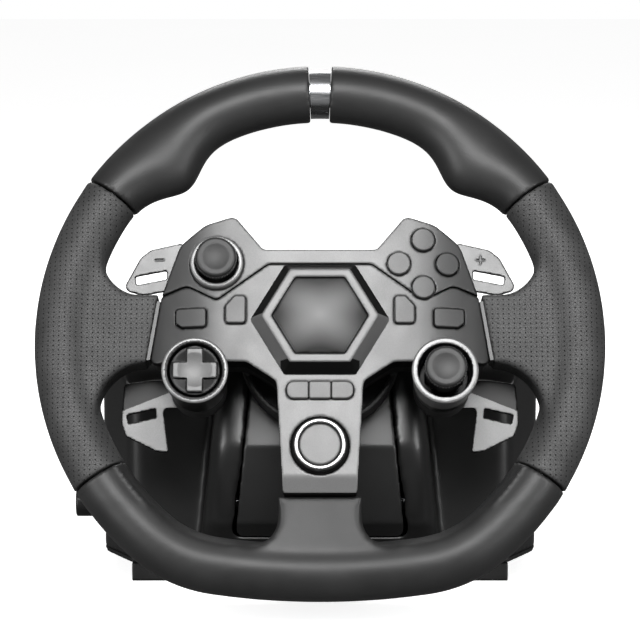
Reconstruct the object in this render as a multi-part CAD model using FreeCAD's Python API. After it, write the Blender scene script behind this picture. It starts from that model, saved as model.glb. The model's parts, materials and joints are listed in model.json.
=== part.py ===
import FreeCAD, Part
import math
import os
from FreeCAD import Matrix, Vector

# A desk-standing racing wheel: a tilted flat-bottomed steering wheel with gamepad controls and
# four paddles, on a clamp-down base. Millimetres, +Z up, the driver sits at -Y.
#
# Everything that turns with the wheel is drawn in the wheel's own frame: u to the right, v up
# along the wheel's face and w out of the face towards the driver, from the centre of the rim's
# middle plane. wheel_to_desk() then leans it back by TILT and lifts it to AXIS_HEIGHT.

# ---- steering axis
TILT = 22.0                 # the axis rises this much towards the driver, in degrees
AXIS_HEIGHT = 134.5         # rim centre above the desk

# ---- rim
RIM_RADIUS = 140.0          # outer radius of the round part
RIM_DROP = 127.8            # from the axis to the flattened bottom
RIM_BOTTOM_ARC = 370.0      # radius of the nearly flat bottom
RIM_CORNER = 74.0           # radius that joins the two
TUBE_RADIAL = 14.0          # half the rim's thickness, seen from the front
TUBE_AXIAL = 15.5           # half its depth
CORE_RADIUS = 6.5           # steel ring inside the grips
CORE_GAP = 0.2
SEAM_UP = 35.0              # joint of top and side grips, degrees above the horizontal
SEAM_DOWN = -32.0           # joint of side and bottom grips
SEAM_GAP = 1.0
MARKER_WIDTH = 10.6         # bright band at twelve o'clock
MARKER_STEP = 2.0           # how far it lies below the grips
THUMB_REST = 11.0           # height of the swelling on the inside of each top grip
THUMB_REST_AT = 50.0        # degrees
THUMB_REST_SPREAD = 8.5     # degrees

# ---- spokes
SPOKE_TOP = 21.5            # v of the side spokes' upper edge
SPOKE_BOTTOM = -12.0
SPOKE_FRONT = 11.0          # w of their front
SPOKE_BACK = -10.0
SPOKE_FILLET_UP = 20.0
SPOKE_FILLET_DOWN = 25.0
NECK_HALF = 20.0            # half width of the bottom spoke
NECK_FILLET = 14.0
NECK_FRONT = 13.0
WEB_INSET = 10.0            # the spokes' sheet reaches this far inside the rim's centre line

# ---- steel skeleton
FRAME_BACK = -6.5
FRAME_FRONT = -1.0
FRAME_HUB_RADIUS = 23.5
FRAME_ARM_LOW = -3.0
FRAME_ARM_HIGH = 13.0
FRAME_NECK_HALF = 8.0
FIT_GAP = 0.3               # general assembly clearance
SEAT_GAP = 0.15             # clearance between parts screwed together

# ---- face
FACE_LEVEL = 24.0           # w of the flat middle of the face
FACE_WALL = 3.0
FACE_FLAT_HALF = 46.0       # the face is flat for |u| below this
FACE_EDGE_HALF = 84.0       # and has rounded down to FACE_EDGE_LEVEL here
FACE_EDGE_LEVEL = 13.0
FACE_SLOPE_FROM = -70.5     # below this v the column leans back
FACE_SLOPE_TO = -80.0
FACE_SLOPE_LEVEL = 19.5
FACE_SPLIT_GAP = 0.5        # groove between the upper and the lower face
FACE_FOOT = 8.3             # w of the face shell's rear edge
# right half of the face's outline: u, v, corner radius
FACE_HALF = [
    (27.5, 41.0, 3.0), (41.5, 57.5, 4.0), (56.0, 53.0, 12.0), (68.0, 43.5, 12.0),
    (77.0, 19.0, 8.0), (82.5, -14.0, 3.0), (35.7, -14.5, 4.0), (21.0, -24.0, 4.0),
    (17.8, -78.0, 1.5),
]
# right half of the groove between upper and lower face, from the middle outwards
SPLIT_HALF = [(25.0, 33.9, 5.0), (50.0, 16.0, 3.0), (64.5, 23.4, 6.0), (95.0, 13.0, 0.0)]

# ---- hub shell
HUB_FLOOR_BACK = SPOKE_BACK
HUB_WALL = 2.5
HUB_INSET = 1.2             # the shell stands this far inside the face's edge
SCREW_RADIUS = 1.4          # screws that hold the faces
SCREW_HEAD = 2.6
FACE_SCREWS = [
    (-34.5, 43.0), (34.5, 43.0), (-72.0, 20.5), (72.0, 20.5), (-33.0, -9.0), (33.0, -9.0),
]
TRIM_WIDTH = 1.6            # bright strip between the face and each side spoke
TRIM_BACK = 0.5
CUP_RADIUS = 40.0           # collar behind the hub, round the shaft's flange
CUP_BACK = -28.0

# ---- centre badge
HEX_TIP = 28.0              # half width of the raised frame, corner to corner
HEX_HALF_HEIGHT = 22.5
HEX_RIM = 4.6               # width of the frame round the badge
HEX_SKIRT = 6.0             # how far the frame's foot spreads
HEX_LEVEL = 35.0
HEX_V = 6.0
BADGE_GAP = 0.3
BADGE_CROWN = 2.2

# ---- thumb sticks and direction pad
STICK_CAP_RADIUS = 9.7
STICK_CAP_HEIGHT = 6.5
STICK_STEM = 2.6
COLLAR_U, COLLAR_V = -50.0, 33.9
COLLAR_RADIUS = 12.9
COLLAR_HOLE = 10.4
COLLAR_TOP = 28.0
COLLAR_PIVOT = 15.0
COLLAR_CAP_BASE = 32.5
POD_U, POD_V = 59.4, -22.6
POD_TOP = 44.0
POD_TOP_RADIUS = 16.0
POD_FOOT = 8.0
POD_FOOT_RADIUS = 13.8
POD_BORE = 12.9
POD_PIVOT = 30.5
POD_CAP_BASE = 47.8
MODULE_HALF = 8.4           # half side of the box that carries a gimbal
MODULE_DEEP = 8.2           # from the pivot down to the box's foot
MODULE_WALL = 1.4
GIMBAL_OUT = 6.2
GIMBAL_IN = 4.6
GIMBAL_HALF = 1.6
PIN_RADIUS = 0.9
PIN_GAP = 0.08
POD_WALL = 1.6
POD_LIP = 1.5
POD_MOUTH_DEEP = 8.0        # the mouth is this deep where it is wider than the bore
POST_GAP = 0.6              # between a gimbal and its bearing posts
DISH = 0.9                  # hollow in a stick's cap
DOME_RADIUS = 10.4          # dust dome round a stick's foot
DOME_WALL = 0.9
DOME_FROM = 4.2             # the dome starts this far above the pivot
DPAD_RADIUS = 12.0
DPAD_PIVOT = 37.0
DPAD_TOP = 43.0
DPAD_ARM = 10.4
DPAD_ARM_HALF = 3.7

# ---- buttons: travel, and how far they stand out of the face
BUTTON_GAP = 0.35
BUTTON_TRAVEL = 1.2
BUTTON_OUT = 2.4
BUTTON_FLANGE = 0.9         # the hidden lip that keeps a button in
BUTTON_ROUND = 0.6          # rounding of the tops
ROUND_BUTTON_RADIUS = 5.45
DIAMOND_U, DIAMOND_V, DIAMOND_STEP = 50.0, 33.6, 11.8
TRAPEZIUM_U, TRAPEZIUM_V = 40.8, 10.8
TRAPEZIUM = [(-4.7, 6.6, 1.6), (0.4, 6.6, 1.6), (4.7, 1.8, 1.6), (4.7, -6.6, 1.6), (-4.7, -6.6, 1.6)]
BLOCK_U, BLOCK_V = 62.4, 7.0
BLOCK = [(-7.2, 4.5, 1.6), (7.2, 4.5, 1.6), (7.2, -2.2, 1.8), (4.2, -4.5, 1.8), (-7.2, -4.5, 1.6)]
ROW_V = -28.7
ROW_HALF_HEIGHT = 4.1
ROW_WIDTH = 10.3
ROW_SPACE = 0.45
HOME_V = -55.5
HOME_WELL = 14.3
HOME_RING_OUT = 12.5
HOME_RING_IN = 10.3
HOME_RING_TOP = 29.5
HOME_CAP_TOP = 28.6

# ---- control board inside the hub
BOARD_BACK = 4.0
BOARD_THICK = 1.6
SWITCH_HALF = 3.0
SWITCH_HEIGHT = 3.6
BOARD_TOP = BOARD_BACK + BOARD_THICK
BOARD_POSTS = [
    (-30.0, 30.0), (30.0, 30.0), (-40.0, -9.0), (40.0, -9.0), (0.0, -44.0), (0.0, -70.0),
]
MOTOR_RADIUS = 4.6          # vibration motors
MOTOR_V = 36.0

# ---- paddles; the outlines are for the right hand side
PADDLE_THICK = 2.5
PADDLE_HINGE_U = 60.0
KNUCKLE_RADIUS = 3.6
PADDLE_PIN_RADIUS = 1.5
PADDLE_PIN_GAP = 0.06
UPPER_PADDLE_W = -15.6
UPPER_PADDLE = [
    (60.0, 29.0), (60.0, 40.2), (65.5, 40.2), (65.5, 50.5, 1.5), (69.0, 53.2, 3.0), (84.5, 49.6, 5.0),
    (89.5, 45.5, 5.0), (98.0, 29.5, 3.0), (88.0, 26.6, 2.0), (75.0, 29.0, 2.0),
]
UPPER_SLOT = [(76.2, 39.2, 0.8), (91.8, 36.2, 0.8), (91.2, 31.8, 0.8), (76.2, 34.8, 0.8)]
UPPER_KNUCKLE = (28.7, 40.5)
SIGN_AT = (80.0, 44.6)      # middle of the plus or minus recess
LOWER_PADDLE_W = -20.0
LOWER_PADDLE = [
    (60.0, -29.7), (60.0, -15.3), (82.0, -15.3, 2.0), (97.0, -17.5, 2.0), (98.2, -37.0, 3.0),
    (96.0, -43.6, 4.0), (81.0, -51.0, 2.0), (74.6, -52.0, 1.2), (77.4, -29.7, 2.0),
]
LOWER_SLOT = [(81.4, -29.8, 0.6), (95.4, -33.0, 0.6), (94.6, -37.6, 0.6), (80.9, -34.4, 0.6)]
LOWER_KNUCKLE = (-30.0, -15.0)
LUG_THICK = 3.4
LUG_GAP = 0.3

# ---- shaft, bushes, gears, centring spring (in the wheel's frame, w runs back into the base)
SHAFT_RADIUS = 8.0
SHAFT_FLANGE_RADIUS = 22.0
SHAFT_FLANGE_BACK = -15.0
SHAFT_BACK = -122.0
BOLT_CIRCLE = 16.0
BOLT_RADIUS = 2.0
BOLT_HEAD_RADIUS = 3.6
BUSH_GAP = 0.04
BUSH_RADIUS = 11.0
BUSH_FLANGE = 14.0
PLATE_FRONT_W = -52.0       # the chassis's two upright plates
PLATE_REAR_W = -112.0
PLATE_THICK = 4.0
PLATE_HALF = 36.0
PLATE_TOP = 19.0
GEAR_MODULE = 1.0
DRIVE_TEETH = 48
PINION_TEETH = 16
GEAR_BACKLASH = 0.18
GEAR_W = (-66.0, -60.0)
ENCODER_V = -GEAR_MODULE * (DRIVE_TEETH + PINION_TEETH) / 2
ENCODER_SHAFT_RADIUS = 2.0
SPRING_W = (-92.0, -84.0)
SPRING_IN = 8.4
SPRING_OUT = 27.0
SPRING_TURNS = 4.5
SPRING_STRIP = 0.9

# ---- base
BASE_GAP = 32.0             # the base's sloping front lies this far behind the rim's plane
BASE_BOTTOM = 10.0
BASE_BACK = 200.0
BASE_HALF = 112.0           # half width over the wings
WING_FRONT = 46.0
WING_FRONT_HALF = BASE_HALF - 16.0      # the wings' front narrows to this
WING_TOP = 116.0
CREASE_HEIGHT = 79.5        # where the sloping front turns upright
UNDERCUT_HEIGHT = 40.0
UNDERCUT_DEPTH = 18.0
BLOCK_TOP_V = 25.0          # top of the sloping front, along the wheel's face
BLOCK_HALF_TOP = 48.0       # the middle block is this wide above
BLOCK_HALF_BOTTOM = 62.0    # and this wide at the desk
BLOCK_EDGE = 10.0           # radius of its upright edges
BLOCK_BEVEL = 7.0           # bevel round its top
BASE_WALL = 2.6
TRAY_THICK = 3.0
PANEL_HALF_TOP = 32.0
PANEL_HALF_BOTTOM = 42.5
PANEL_LOW = 32.0
PANEL_HIGH = 137.0
PANEL_GAP = 0.2
SHAFT_HOLE = 20.0
ROOF_BACK = 112.0           # where the middle block's roof starts to fall, and how high it is there
ROOF_HEIGHT = 141.0
REAR_HEIGHT = 70.0          # height of the rear wall
TRAY_SCREWS = [
    (-52.0, 36.0), (52.0, 36.0), (8.0 - BASE_HALF, 128.0), (BASE_HALF - 8.0, 128.0),
    (-60.0, 190.0), (60.0, 190.0),
]
BOSS_RADIUS = 4.2           # screw bosses in the housing
BOSS_HEIGHT = 24.0
TRAY_SCREW_RADIUS = 1.7
CHASSIS_FOOT = 4.0
FOOT_FRONT = 42.0           # front edge of the chassis's foot plate
FRONT_PLATE_LOW = -75.0     # lower edge of the front upright, along the wheel's face
FOOT_RADIUS = 19.0
FEET = [(-78.0, 172.0), (78.0, 172.0), (0.0, 120.0)]

# ---- clamp: a side lever turns a cross shaft, whose pinions drive the two jaws' racks
JAW_U = BASE_HALF - 27.0
JAW_HALF = 11.8
JAW_FRONT = 50.5
JAW_ARM = 10.0
JAW_HOOK_BACK = 104.0
JAW_HOOK_HEIGHT = 8.0
JAW_PAD = 1.6
RACK_MODULE = 1.25
RACK_TEETH = 16
RACK_BACKLASH = 0.22
CROSS_HEIGHT = 37.0
CROSS_RADIUS = 4.0
CROSS_GAP = 0.06
PINION_HALF = 6.0
LEVER_SWING = 170.0
LEVER_BOSS = 7.4
LEVER_OUT = BASE_HALF + 14.5
LEVER_LENGTH = 52.0
LEVER_SEAT = BASE_HALF + 12.0           # the cross shaft reaches this far into the lever's boss
RACK_LINE = JAW_FRONT + JAW_ARM
PINION_RADIUS = RACK_MODULE * RACK_TEETH / 2
CROSS_Y = RACK_LINE + PINION_RADIUS
JAW_TRAVEL = PINION_RADIUS * math.radians(LEVER_SWING)
JAW_BLOCK_TOP = BASE_BOTTOM - 0.5
ADDENDUM = 0.9
DEDENDUM = 1.15
PRESSURE = math.radians(20)

# ---- rear sockets
GLAND_BORE = 2.6
GLAND_RADIUS = 6.0
GLAND_LENGTH = 14.0
SOCKET_HEIGHT = 44.0
GLAND_X = 40.0
SOCKETS = (-30.0, -5.0)     # x of the two sockets

FAR = 400.0                 # larger than the object


# ---------------------------------------------------------------- frames and outlines
def at(u, v, w):
    """A point of the wheel's frame."""
    return Vector(u, -w, v)


def wheel_to_desk(shape):
    """Leans a shape drawn in the wheel's frame back by TILT and lifts it to the steering axis."""
    leaned = shape.copy()
    leaned.rotate(Vector(0, 0, 0), Vector(1, 0, 0), -TILT)
    leaned.translate(Vector(0, 0, AXIS_HEIGHT))
    return leaned


def desk_point(u, v, w):
    """The same move for one point."""
    lean = math.radians(TILT)
    y = v * math.sin(lean) - w * math.cos(lean)
    z = v * math.cos(lean) + w * math.sin(lean)
    return Vector(u, y, z + AXIS_HEIGHT)


def corner(before, point, after, radius):
    """Tangent points and middle of the arc that rounds one corner, or the corner itself."""
    a = (before - point).normalize()
    b = (after - point).normalize()
    half = a.getAngle(b) / 2
    if radius <= 0 or abs(half - math.pi / 2) < 1e-6:
        return [point]
    run = radius / math.tan(half)
    middle = (a + b).normalize()
    reach = radius / math.sin(half) - radius
    return [point + a * run, point + middle * reach, point + b * run]


def rounded_wire(points, place):
    """A closed wire through (a, b, radius) corners; place(a, b) gives each corner's point."""
    spots = [place(p[0], p[1]) for p in points]
    count = len(points)
    arcs = [
        corner(spots[i - 1], spots[i], spots[(i + 1) % count], points[i][2] if len(points[i]) > 2 else 0)
        for i in range(count)
    ]
    edges = []
    for i in range(count):
        if len(arcs[i]) == 3:
            edges.append(Part.Arc(*arcs[i]).toShape())
        start, end = arcs[i][-1], arcs[(i + 1) % count][0]
        if start.distanceToPoint(end) > 1e-6:
            edges.append(Part.LineSegment(start, end).toShape())
    return Part.Wire(edges)


def plate(points, low, high):
    """A prism in the wheel's frame, from w = low to w = high."""
    wire = rounded_wire(points, lambda u, v: at(u, v, low))
    return Part.Face(wire).extrude(at(0, 0, high - low))


def slab(points, left, right):
    """A prism in the desk's frame with a (y, z) outline, from x = left to x = right."""
    wire = rounded_wire(points, lambda y, z: Vector(left, y, z))
    return Part.Face(wire).extrude(Vector(right - left, 0, 0))


def disc(u, v, radius, low, high):
    return Part.makeCylinder(radius, high - low, at(u, v, low), at(0, 0, 1))


def cone(u, v, low_radius, high_radius, low, high):
    return Part.makeCone(low_radius, high_radius, high - low, at(u, v, low), at(0, 0, 1))


def tube(u, v, outer, inner, low, high):
    return disc(u, v, outer, low, high).cut(disc(u, v, inner, low - 1, high + 1))


def brick(u0, u1, v0, v1, w0, w1):
    return Part.makeBox(u1 - u0, w1 - w0, v1 - v0, at(u0, v0, w1))


def block(x0, x1, y0, y1, z0, z1):
    return Part.makeBox(x1 - x0, y1 - y0, z1 - z0, Vector(x0, y0, z0))


def rod_v(u, w, radius, low, high):
    """A rod along v in the wheel's frame."""
    return Part.makeCylinder(radius, high - low, at(u, low, w), Vector(0, 0, 1))


def rod_u(v, w, radius, low, high):
    """A rod along u in the wheel's frame."""
    return Part.makeCylinder(radius, high - low, at(low, v, w), Vector(1, 0, 0))


def post(x, y, radius, low, high):
    """An upright cylinder in the desk's frame."""
    return Part.makeCylinder(radius, high - low, Vector(x, y, low), Vector(0, 0, 1))


def rod_x(y, z, radius, left, right):
    """A cylinder along x in the desk's frame."""
    return Part.makeCylinder(radius, right - left, Vector(left, y, z), Vector(1, 0, 0))


def rod_y(x, z, radius, front, back):
    """A cylinder along y in the desk's frame."""
    return Part.makeCylinder(radius, back - front, Vector(x, front, z), Vector(0, 1, 0))


def moved(points, u, v, side=1):
    """An outline shifted to (u, v); side = -1 mirrors it left to right."""
    placed = [(u + side * p[0], v + p[1], *p[2:]) for p in points]
    return placed if side > 0 else placed[::-1]


def both_sides(half):
    """The whole outline from its right half."""
    return half + [(-p[0], *p[1:]) for p in reversed(half)]


def mirrored(shape):
    return shape.mirror(Vector(0, 0, 0), Vector(1, 0, 0))


def grown(points, low, high, distance):
    """A plate whose outline is offset by distance."""
    wire = rounded_wire(points, lambda u, v: at(u, v, low))
    return Part.Face(wire).makeOffset2D(distance).extrude(at(0, 0, high - low))


def fuse(first, *others):
    return first.multiFuse(list(others)).removeSplitter()


def cut(first, *others):
    return first.cut(list(others))


def fillet_near(shape, spots, direction):
    """Rounds, for each (point, radius), the edge along direction that passes nearest the point."""
    for point, radius in spots:
        def off(edge):
            middle = edge.valueAt((edge.FirstParameter + edge.LastParameter) / 2)
            return (middle - point).cross(direction).Length

        along = [
            e for e in shape.Edges
            if isinstance(e.Curve, Part.Line) and abs(e.Curve.Direction.dot(direction)) > 0.999
        ]
        shape = shape.makeFillet(radius, [min(along, key=off)])
    return shape


def round_top(shape, level, radius):
    """Rounds every edge that lies in the plane w = level."""
    edges = [e for e in shape.Edges if all(abs(-p.Point.y - level) < 1e-4 for p in e.Vertexes)
             and abs(-e.CenterOfMass.y - level) < 1e-4]
    return shape.makeFillet(radius, edges)


# ---------------------------------------------------------------- rim
def ring_path(inset=0.0, w=0.0):
    """The rim's centre line, or a line inset from it: round above, flattened below."""
    round_r = RIM_RADIUS - TUBE_RADIAL - inset
    flat_r = RIM_BOTTOM_ARC - TUBE_RADIAL - inset
    turn_r = RIM_CORNER - TUBE_RADIAL - inset
    flat_centre = flat_r - (RIM_DROP - TUBE_RADIAL - inset)
    a, b = round_r - turn_r, flat_r - turn_r
    turn_v = (a * a - b * b + flat_centre ** 2) / (2 * flat_centre)
    turn_u = math.sqrt(a * a - turn_v ** 2)
    high = math.atan2(turn_v, turn_u)
    low = math.atan2(turn_v - flat_centre, turn_u)
    middle = (high + low) / 2

    def spot(centre_u, centre_v, radius, angle):
        return at(centre_u + radius * math.cos(angle), centre_v + radius * math.sin(angle), w)

    top = at(0, round_r, w)
    upper = spot(0, 0, round_r, high)
    side = at(round_r, 0, w)
    bend = spot(turn_u, turn_v, turn_r, middle)
    lower = spot(0, flat_centre, flat_r, low)
    bottom = at(0, flat_centre - flat_r, w)

    def left(p):
        return Vector(-p.x, p.y, p.z)

    return Part.Wire([
        Part.Arc(top, side, upper).toShape(),
        Part.Arc(upper, bend, lower).toShape(),
        Part.Arc(lower, bottom, left(lower)).toShape(),
        Part.Arc(left(lower), left(bend), left(upper)).toShape(),
        Part.Arc(left(upper), left(side), top).toShape(),
    ])


def ring_plate(inset, low, high):
    return Part.Face(ring_path(inset, low)).extrude(at(0, 0, high - low))


def ring_tube(radial, axial):
    """A closed tube of elliptical section round the rim's centre line."""
    centre = at(0, RIM_RADIUS - TUBE_RADIAL, 0)
    if axial > radial:
        section = Part.Ellipse(centre + at(0, 0, axial), centre + at(0, radial, 0), centre)
    else:
        section = Part.Circle(centre, Vector(1, 0, 0), radial)
    return ring_path().makePipeShell([Part.Wire(section.toShape())], True, False)


def sector(start, end):
    """A wedge of the wheel between two angles, in degrees."""
    steps = [start + (end - start) * i / 4 for i in range(5)]
    rays = [(FAR * math.cos(math.radians(a)), FAR * math.sin(math.radians(a))) for a in steps]
    return plate([(0, 0)] + rays, -60, 60)


def spoke_sheet(back, front):
    """The sheet that the spokes are cut from, with its three openings."""
    sheet = ring_plate(0, back, front)
    inner = ring_plate(WEB_INSET, back - 1, front + 1)
    reach = RIM_RADIUS - TUBE_RADIAL - WEB_INSET
    upper = inner.common(brick(-FAR, FAR, SPOKE_TOP, FAR, -60, 60))
    edge_u = math.sqrt(reach ** 2 - SPOKE_TOP ** 2)
    upper = fillet_near(upper, [
        (at(edge_u, SPOKE_TOP, 0), SPOKE_FILLET_UP), (at(-edge_u, SPOKE_TOP, 0), SPOKE_FILLET_UP),
    ], Vector(0, 1, 0))
    lower = inner.common(brick(NECK_HALF, FAR, -FAR, SPOKE_BOTTOM, -60, 60))
    edge_u = math.sqrt(reach ** 2 - SPOKE_BOTTOM ** 2)
    lower = fillet_near(lower, [
        (at(edge_u, SPOKE_BOTTOM, 0), SPOKE_FILLET_DOWN),
        (at(NECK_HALF, -RIM_DROP + 2 * TUBE_RADIAL, 0), NECK_FILLET),
    ], Vector(0, 1, 0))
    return cut(sheet, upper, lower, mirrored(lower))


def frame_arms(gap=0.0):
    """The skeleton's three arms; gap widens them to cut their channels."""
    low, high = FRAME_BACK - gap, FRAME_FRONT + gap
    reach = RIM_RADIUS - TUBE_RADIAL
    side = brick(-reach, reach, FRAME_ARM_LOW - gap, FRAME_ARM_HIGH + gap, low, high)
    down = brick(-FRAME_NECK_HALF - gap, FRAME_NECK_HALF + gap, -(RIM_DROP - TUBE_RADIAL), 0, low, high)
    return fuse(side, down)


def wheel_frame():
    """Steel ring, arms and hub plate, welded into one piece."""
    ring = ring_tube(CORE_RADIUS, CORE_RADIUS)
    hub = disc(0, 0, FRAME_HUB_RADIUS, FRAME_BACK, FRAME_FRONT)
    frame = fuse(ring, frame_arms(), hub)
    return cut(frame, *[disc(u, v, BOLT_RADIUS + FIT_GAP / 2, -20, 20) for u, v in bolt_spots()])


def bolt_spots():
    return [
        (BOLT_CIRCLE * math.cos(math.radians(a)), BOLT_CIRCLE * math.sin(math.radians(a)))
        for a in (45, 135, 225, 315)
    ]


def core_channel():
    return fuse(ring_tube(CORE_RADIUS + CORE_GAP, CORE_RADIUS + CORE_GAP), frame_arms(CORE_GAP))


def spoke_end():
    """What the hub and its trim take out of the side spokes."""
    (top_u, top_v), (low_u, low_v) = FACE_HALF[4][:2], FACE_HALF[5][:2]
    lean = (low_u - top_u) / (low_v - top_v)
    clear = TRIM_WIDTH + 2 * FIT_GAP
    high, low = SPOKE_TOP + 30, SPOKE_BOTTOM - 30
    return plate([
        (0, high), (top_u + clear + lean * (high - top_v), high),
        (top_u + clear + lean * (low - top_v), low), (0, low),
    ], -60, 60)


def side_grip(channel):
    """Right hand grip: the rim from SEAM_DOWN to SEAM_UP with its broad spoke."""
    tube_ = ring_tube(TUBE_RADIAL, TUBE_AXIAL)
    body = fuse(tube_, spoke_sheet(SPOKE_BACK, SPOKE_FRONT))
    body = body.common(sector(SEAM_DOWN, SEAM_UP))
    return cut(body, spoke_end(), channel)


def bottom_grip(channel):
    """Flattened bottom of the rim with the neck that carries the face's column."""
    half_gap = math.degrees(SEAM_GAP / (RIM_RADIUS - TUBE_RADIAL))
    tube_ = ring_tube(TUBE_RADIAL, TUBE_AXIAL)
    body = fuse(tube_, spoke_sheet(SPOKE_BACK, NECK_FRONT))
    body = body.common(sector(SEAM_DOWN - half_gap, -180 - SEAM_DOWN + half_gap))
    above = brick(-FAR, FAR, FACE_HALF[-1][1] - FIT_GAP, 0, -60, 60).common(
        brick(-NECK_HALF - NECK_FILLET - 30, NECK_HALF + NECK_FILLET + 30, -FAR, 0, -60, 60))
    return cut(body, above, channel)


def top_grip(channel):
    """Right hand top grip, swollen inwards as a thumb rest."""
    middle = RIM_RADIUS - TUBE_RADIAL
    start = SEAM_UP + math.degrees(SEAM_GAP / middle)
    end = 90 - math.degrees(MARKER_WIDTH / 2 / middle)
    count = 14
    wires = []
    for i in range(count + 1):
        angle = start + (end - start) * i / count
        swell = THUMB_REST * math.exp(-((angle - THUMB_REST_AT) / THUMB_REST_SPREAD) ** 2)
        wires.append(grip_section(math.radians(angle), swell))
    return Part.makeLoft(wires, True, False).cut(channel)


def grip_section(angle, swell):
    """The rim's elliptical section at an angle, widened inwards by swell."""
    radial = TUBE_RADIAL + swell / 2
    centre = RIM_RADIUS - radial
    out_u, out_v = math.cos(angle), math.sin(angle)
    place = Matrix(
        out_u * radial, 0, -out_v, centre * out_u,
        0, -TUBE_AXIAL, 0, 0,
        out_v * radial, 0, out_u, centre * out_v,
        0, 0, 0, 1)
    circle = Part.Circle(Vector(0, 0, 0), Vector(0, 0, 1), 1.0).toShape()
    return Part.Wire(circle.transformGeometry(place).Edges)


def top_marker(channel):
    """Polished band between the two top grips."""
    middle = RIM_RADIUS - TUBE_RADIAL
    half = math.degrees((MARKER_WIDTH / 2 - FIT_GAP) / middle)
    band = ring_tube(TUBE_RADIAL - MARKER_STEP, TUBE_AXIAL - MARKER_STEP)
    return band.common(sector(90 - half, 90 + half)).cut(channel)


# ---------------------------------------------------------------- face and hub
def crown(drop=0.0):
    """Everything behind the face's front surface: flat in the middle, rounded off to the sides
    and leaning back at the foot of the column. drop lowers the surface for the face's back."""
    level, edge = FACE_LEVEL - drop, FACE_EDGE_LEVEL - drop
    sink = level - edge
    run = FACE_EDGE_HALF - FACE_FLAT_HALF
    radius = (run ** 2 + sink ** 2) / (2 * sink)
    half = math.asin(run / radius) / 2
    mid_u = FACE_FLAT_HALF + radius * math.sin(half)
    mid_w = level - radius * (1 - math.cos(half))
    v0, v1, low = -95.0, 75.0, -60.0

    def p(u, w):
        return at(u, v0, w)

    edges = [
        Part.LineSegment(p(-FACE_FLAT_HALF, level), p(FACE_FLAT_HALF, level)).toShape(),
        Part.Arc(p(FACE_FLAT_HALF, level), p(mid_u, mid_w), p(FACE_EDGE_HALF, edge)).toShape(),
        Part.LineSegment(p(FACE_EDGE_HALF, edge), p(FACE_EDGE_HALF + 12, edge - 8)).toShape(),
        Part.LineSegment(p(FACE_EDGE_HALF + 12, edge - 8), p(FACE_EDGE_HALF + 12, low)).toShape(),
        Part.LineSegment(p(FACE_EDGE_HALF + 12, low), p(-FACE_EDGE_HALF - 12, low)).toShape(),
        Part.LineSegment(p(-FACE_EDGE_HALF - 12, low), p(-FACE_EDGE_HALF - 12, edge - 8)).toShape(),
        Part.LineSegment(p(-FACE_EDGE_HALF - 12, edge - 8), p(-FACE_EDGE_HALF, edge)).toShape(),
        Part.Arc(p(-FACE_EDGE_HALF, edge), p(-mid_u, mid_w), p(-FACE_FLAT_HALF, level)).toShape(),
    ]
    across = Part.Face(Part.Wire(edges)).extrude(Vector(0, 0, v1 - v0))
    lean = (FACE_LEVEL - FACE_SLOPE_LEVEL) / (FACE_SLOPE_FROM - FACE_SLOPE_TO)
    foot = FACE_SLOPE_FROM - v0
    side_view = [
        (v1, low, 0), (v1, level, 0), (FACE_SLOPE_FROM, level, 6),
        (v0, level - lean * foot, 0), (v0, low, 0),
    ]
    wire = rounded_wire(side_view, lambda v, w: at(-120, v, w))
    along = Part.Face(wire).extrude(Vector(240, 0, 0))
    return across.common(along)


def face_outline():
    return both_sides(FACE_HALF)


def above_split(gap=0.0):
    """Everything above the groove between the two faces; gap moves the line down."""
    right = [(u, v - gap, r) for u, v, r in SPLIT_HALF]
    left = [(-u, v, r) for u, v, r in right]
    line = right[::-1] + left
    return plate([(95.0, 120.0, 0)] + line + [(-95.0, 120.0, 0)], -60, 80)


def surface(u):
    """Level of the face's front at |u| when v is in its upright part."""
    out = abs(u) - FACE_FLAT_HALF
    if out <= 0:
        return FACE_LEVEL
    sink = FACE_LEVEL - FACE_EDGE_LEVEL
    run = FACE_EDGE_HALF - FACE_FLAT_HALF
    radius = (run ** 2 + sink ** 2) / (2 * sink)
    return FACE_LEVEL - radius + math.sqrt(radius ** 2 - out ** 2)


def row_outline(index):
    """One of the three buttons in the row; the outer ones have rounded outer corners."""
    half = ROW_WIDTH / 2
    left = 3.4 if index == -1 else 1.0
    right = 3.4 if index == 1 else 1.0
    high = ROW_HALF_HEIGHT
    return [(-half, -high, left), (half, -high, right), (half, high, right), (-half, high, left)]


def button_list():
    """Every face button: name, centre u, centre v, outline (None for a round one)."""
    step = DIAMOND_STEP
    return [
        ("button_face_top", DIAMOND_U, DIAMOND_V + step, None),
        ("button_face_right", DIAMOND_U + step, DIAMOND_V, None),
        ("button_face_bottom", DIAMOND_U, DIAMOND_V - step, None),
        ("button_face_left", DIAMOND_U - step, DIAMOND_V, None),
        ("button_menu_left", -TRAPEZIUM_U, TRAPEZIUM_V, moved(TRAPEZIUM, 0, 0, -1)),
        ("button_menu_right", TRAPEZIUM_U, TRAPEZIUM_V, TRAPEZIUM),
        ("button_bumper_left", -BLOCK_U, BLOCK_V, moved(BLOCK, 0, 0, -1)),
        ("button_bumper_right", BLOCK_U, BLOCK_V, BLOCK),
        ("button_row_left", -(ROW_WIDTH + ROW_SPACE), ROW_V, row_outline(-1)),
        ("button_row_middle", 0.0, ROW_V, row_outline(0)),
        ("button_row_right", ROW_WIDTH + ROW_SPACE, ROW_V, row_outline(1)),
    ]


def button_prism(u, v, outline, grow, low, high):
    """The button's outline as a prism, grown by grow."""
    if outline is None:
        return disc(u, v, ROUND_BUTTON_RADIUS + grow, low, high)
    points = moved(outline, u, v)
    if grow == 0:
        return plate(points, low, high)
    return grown(points, low, high, grow)


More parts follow.
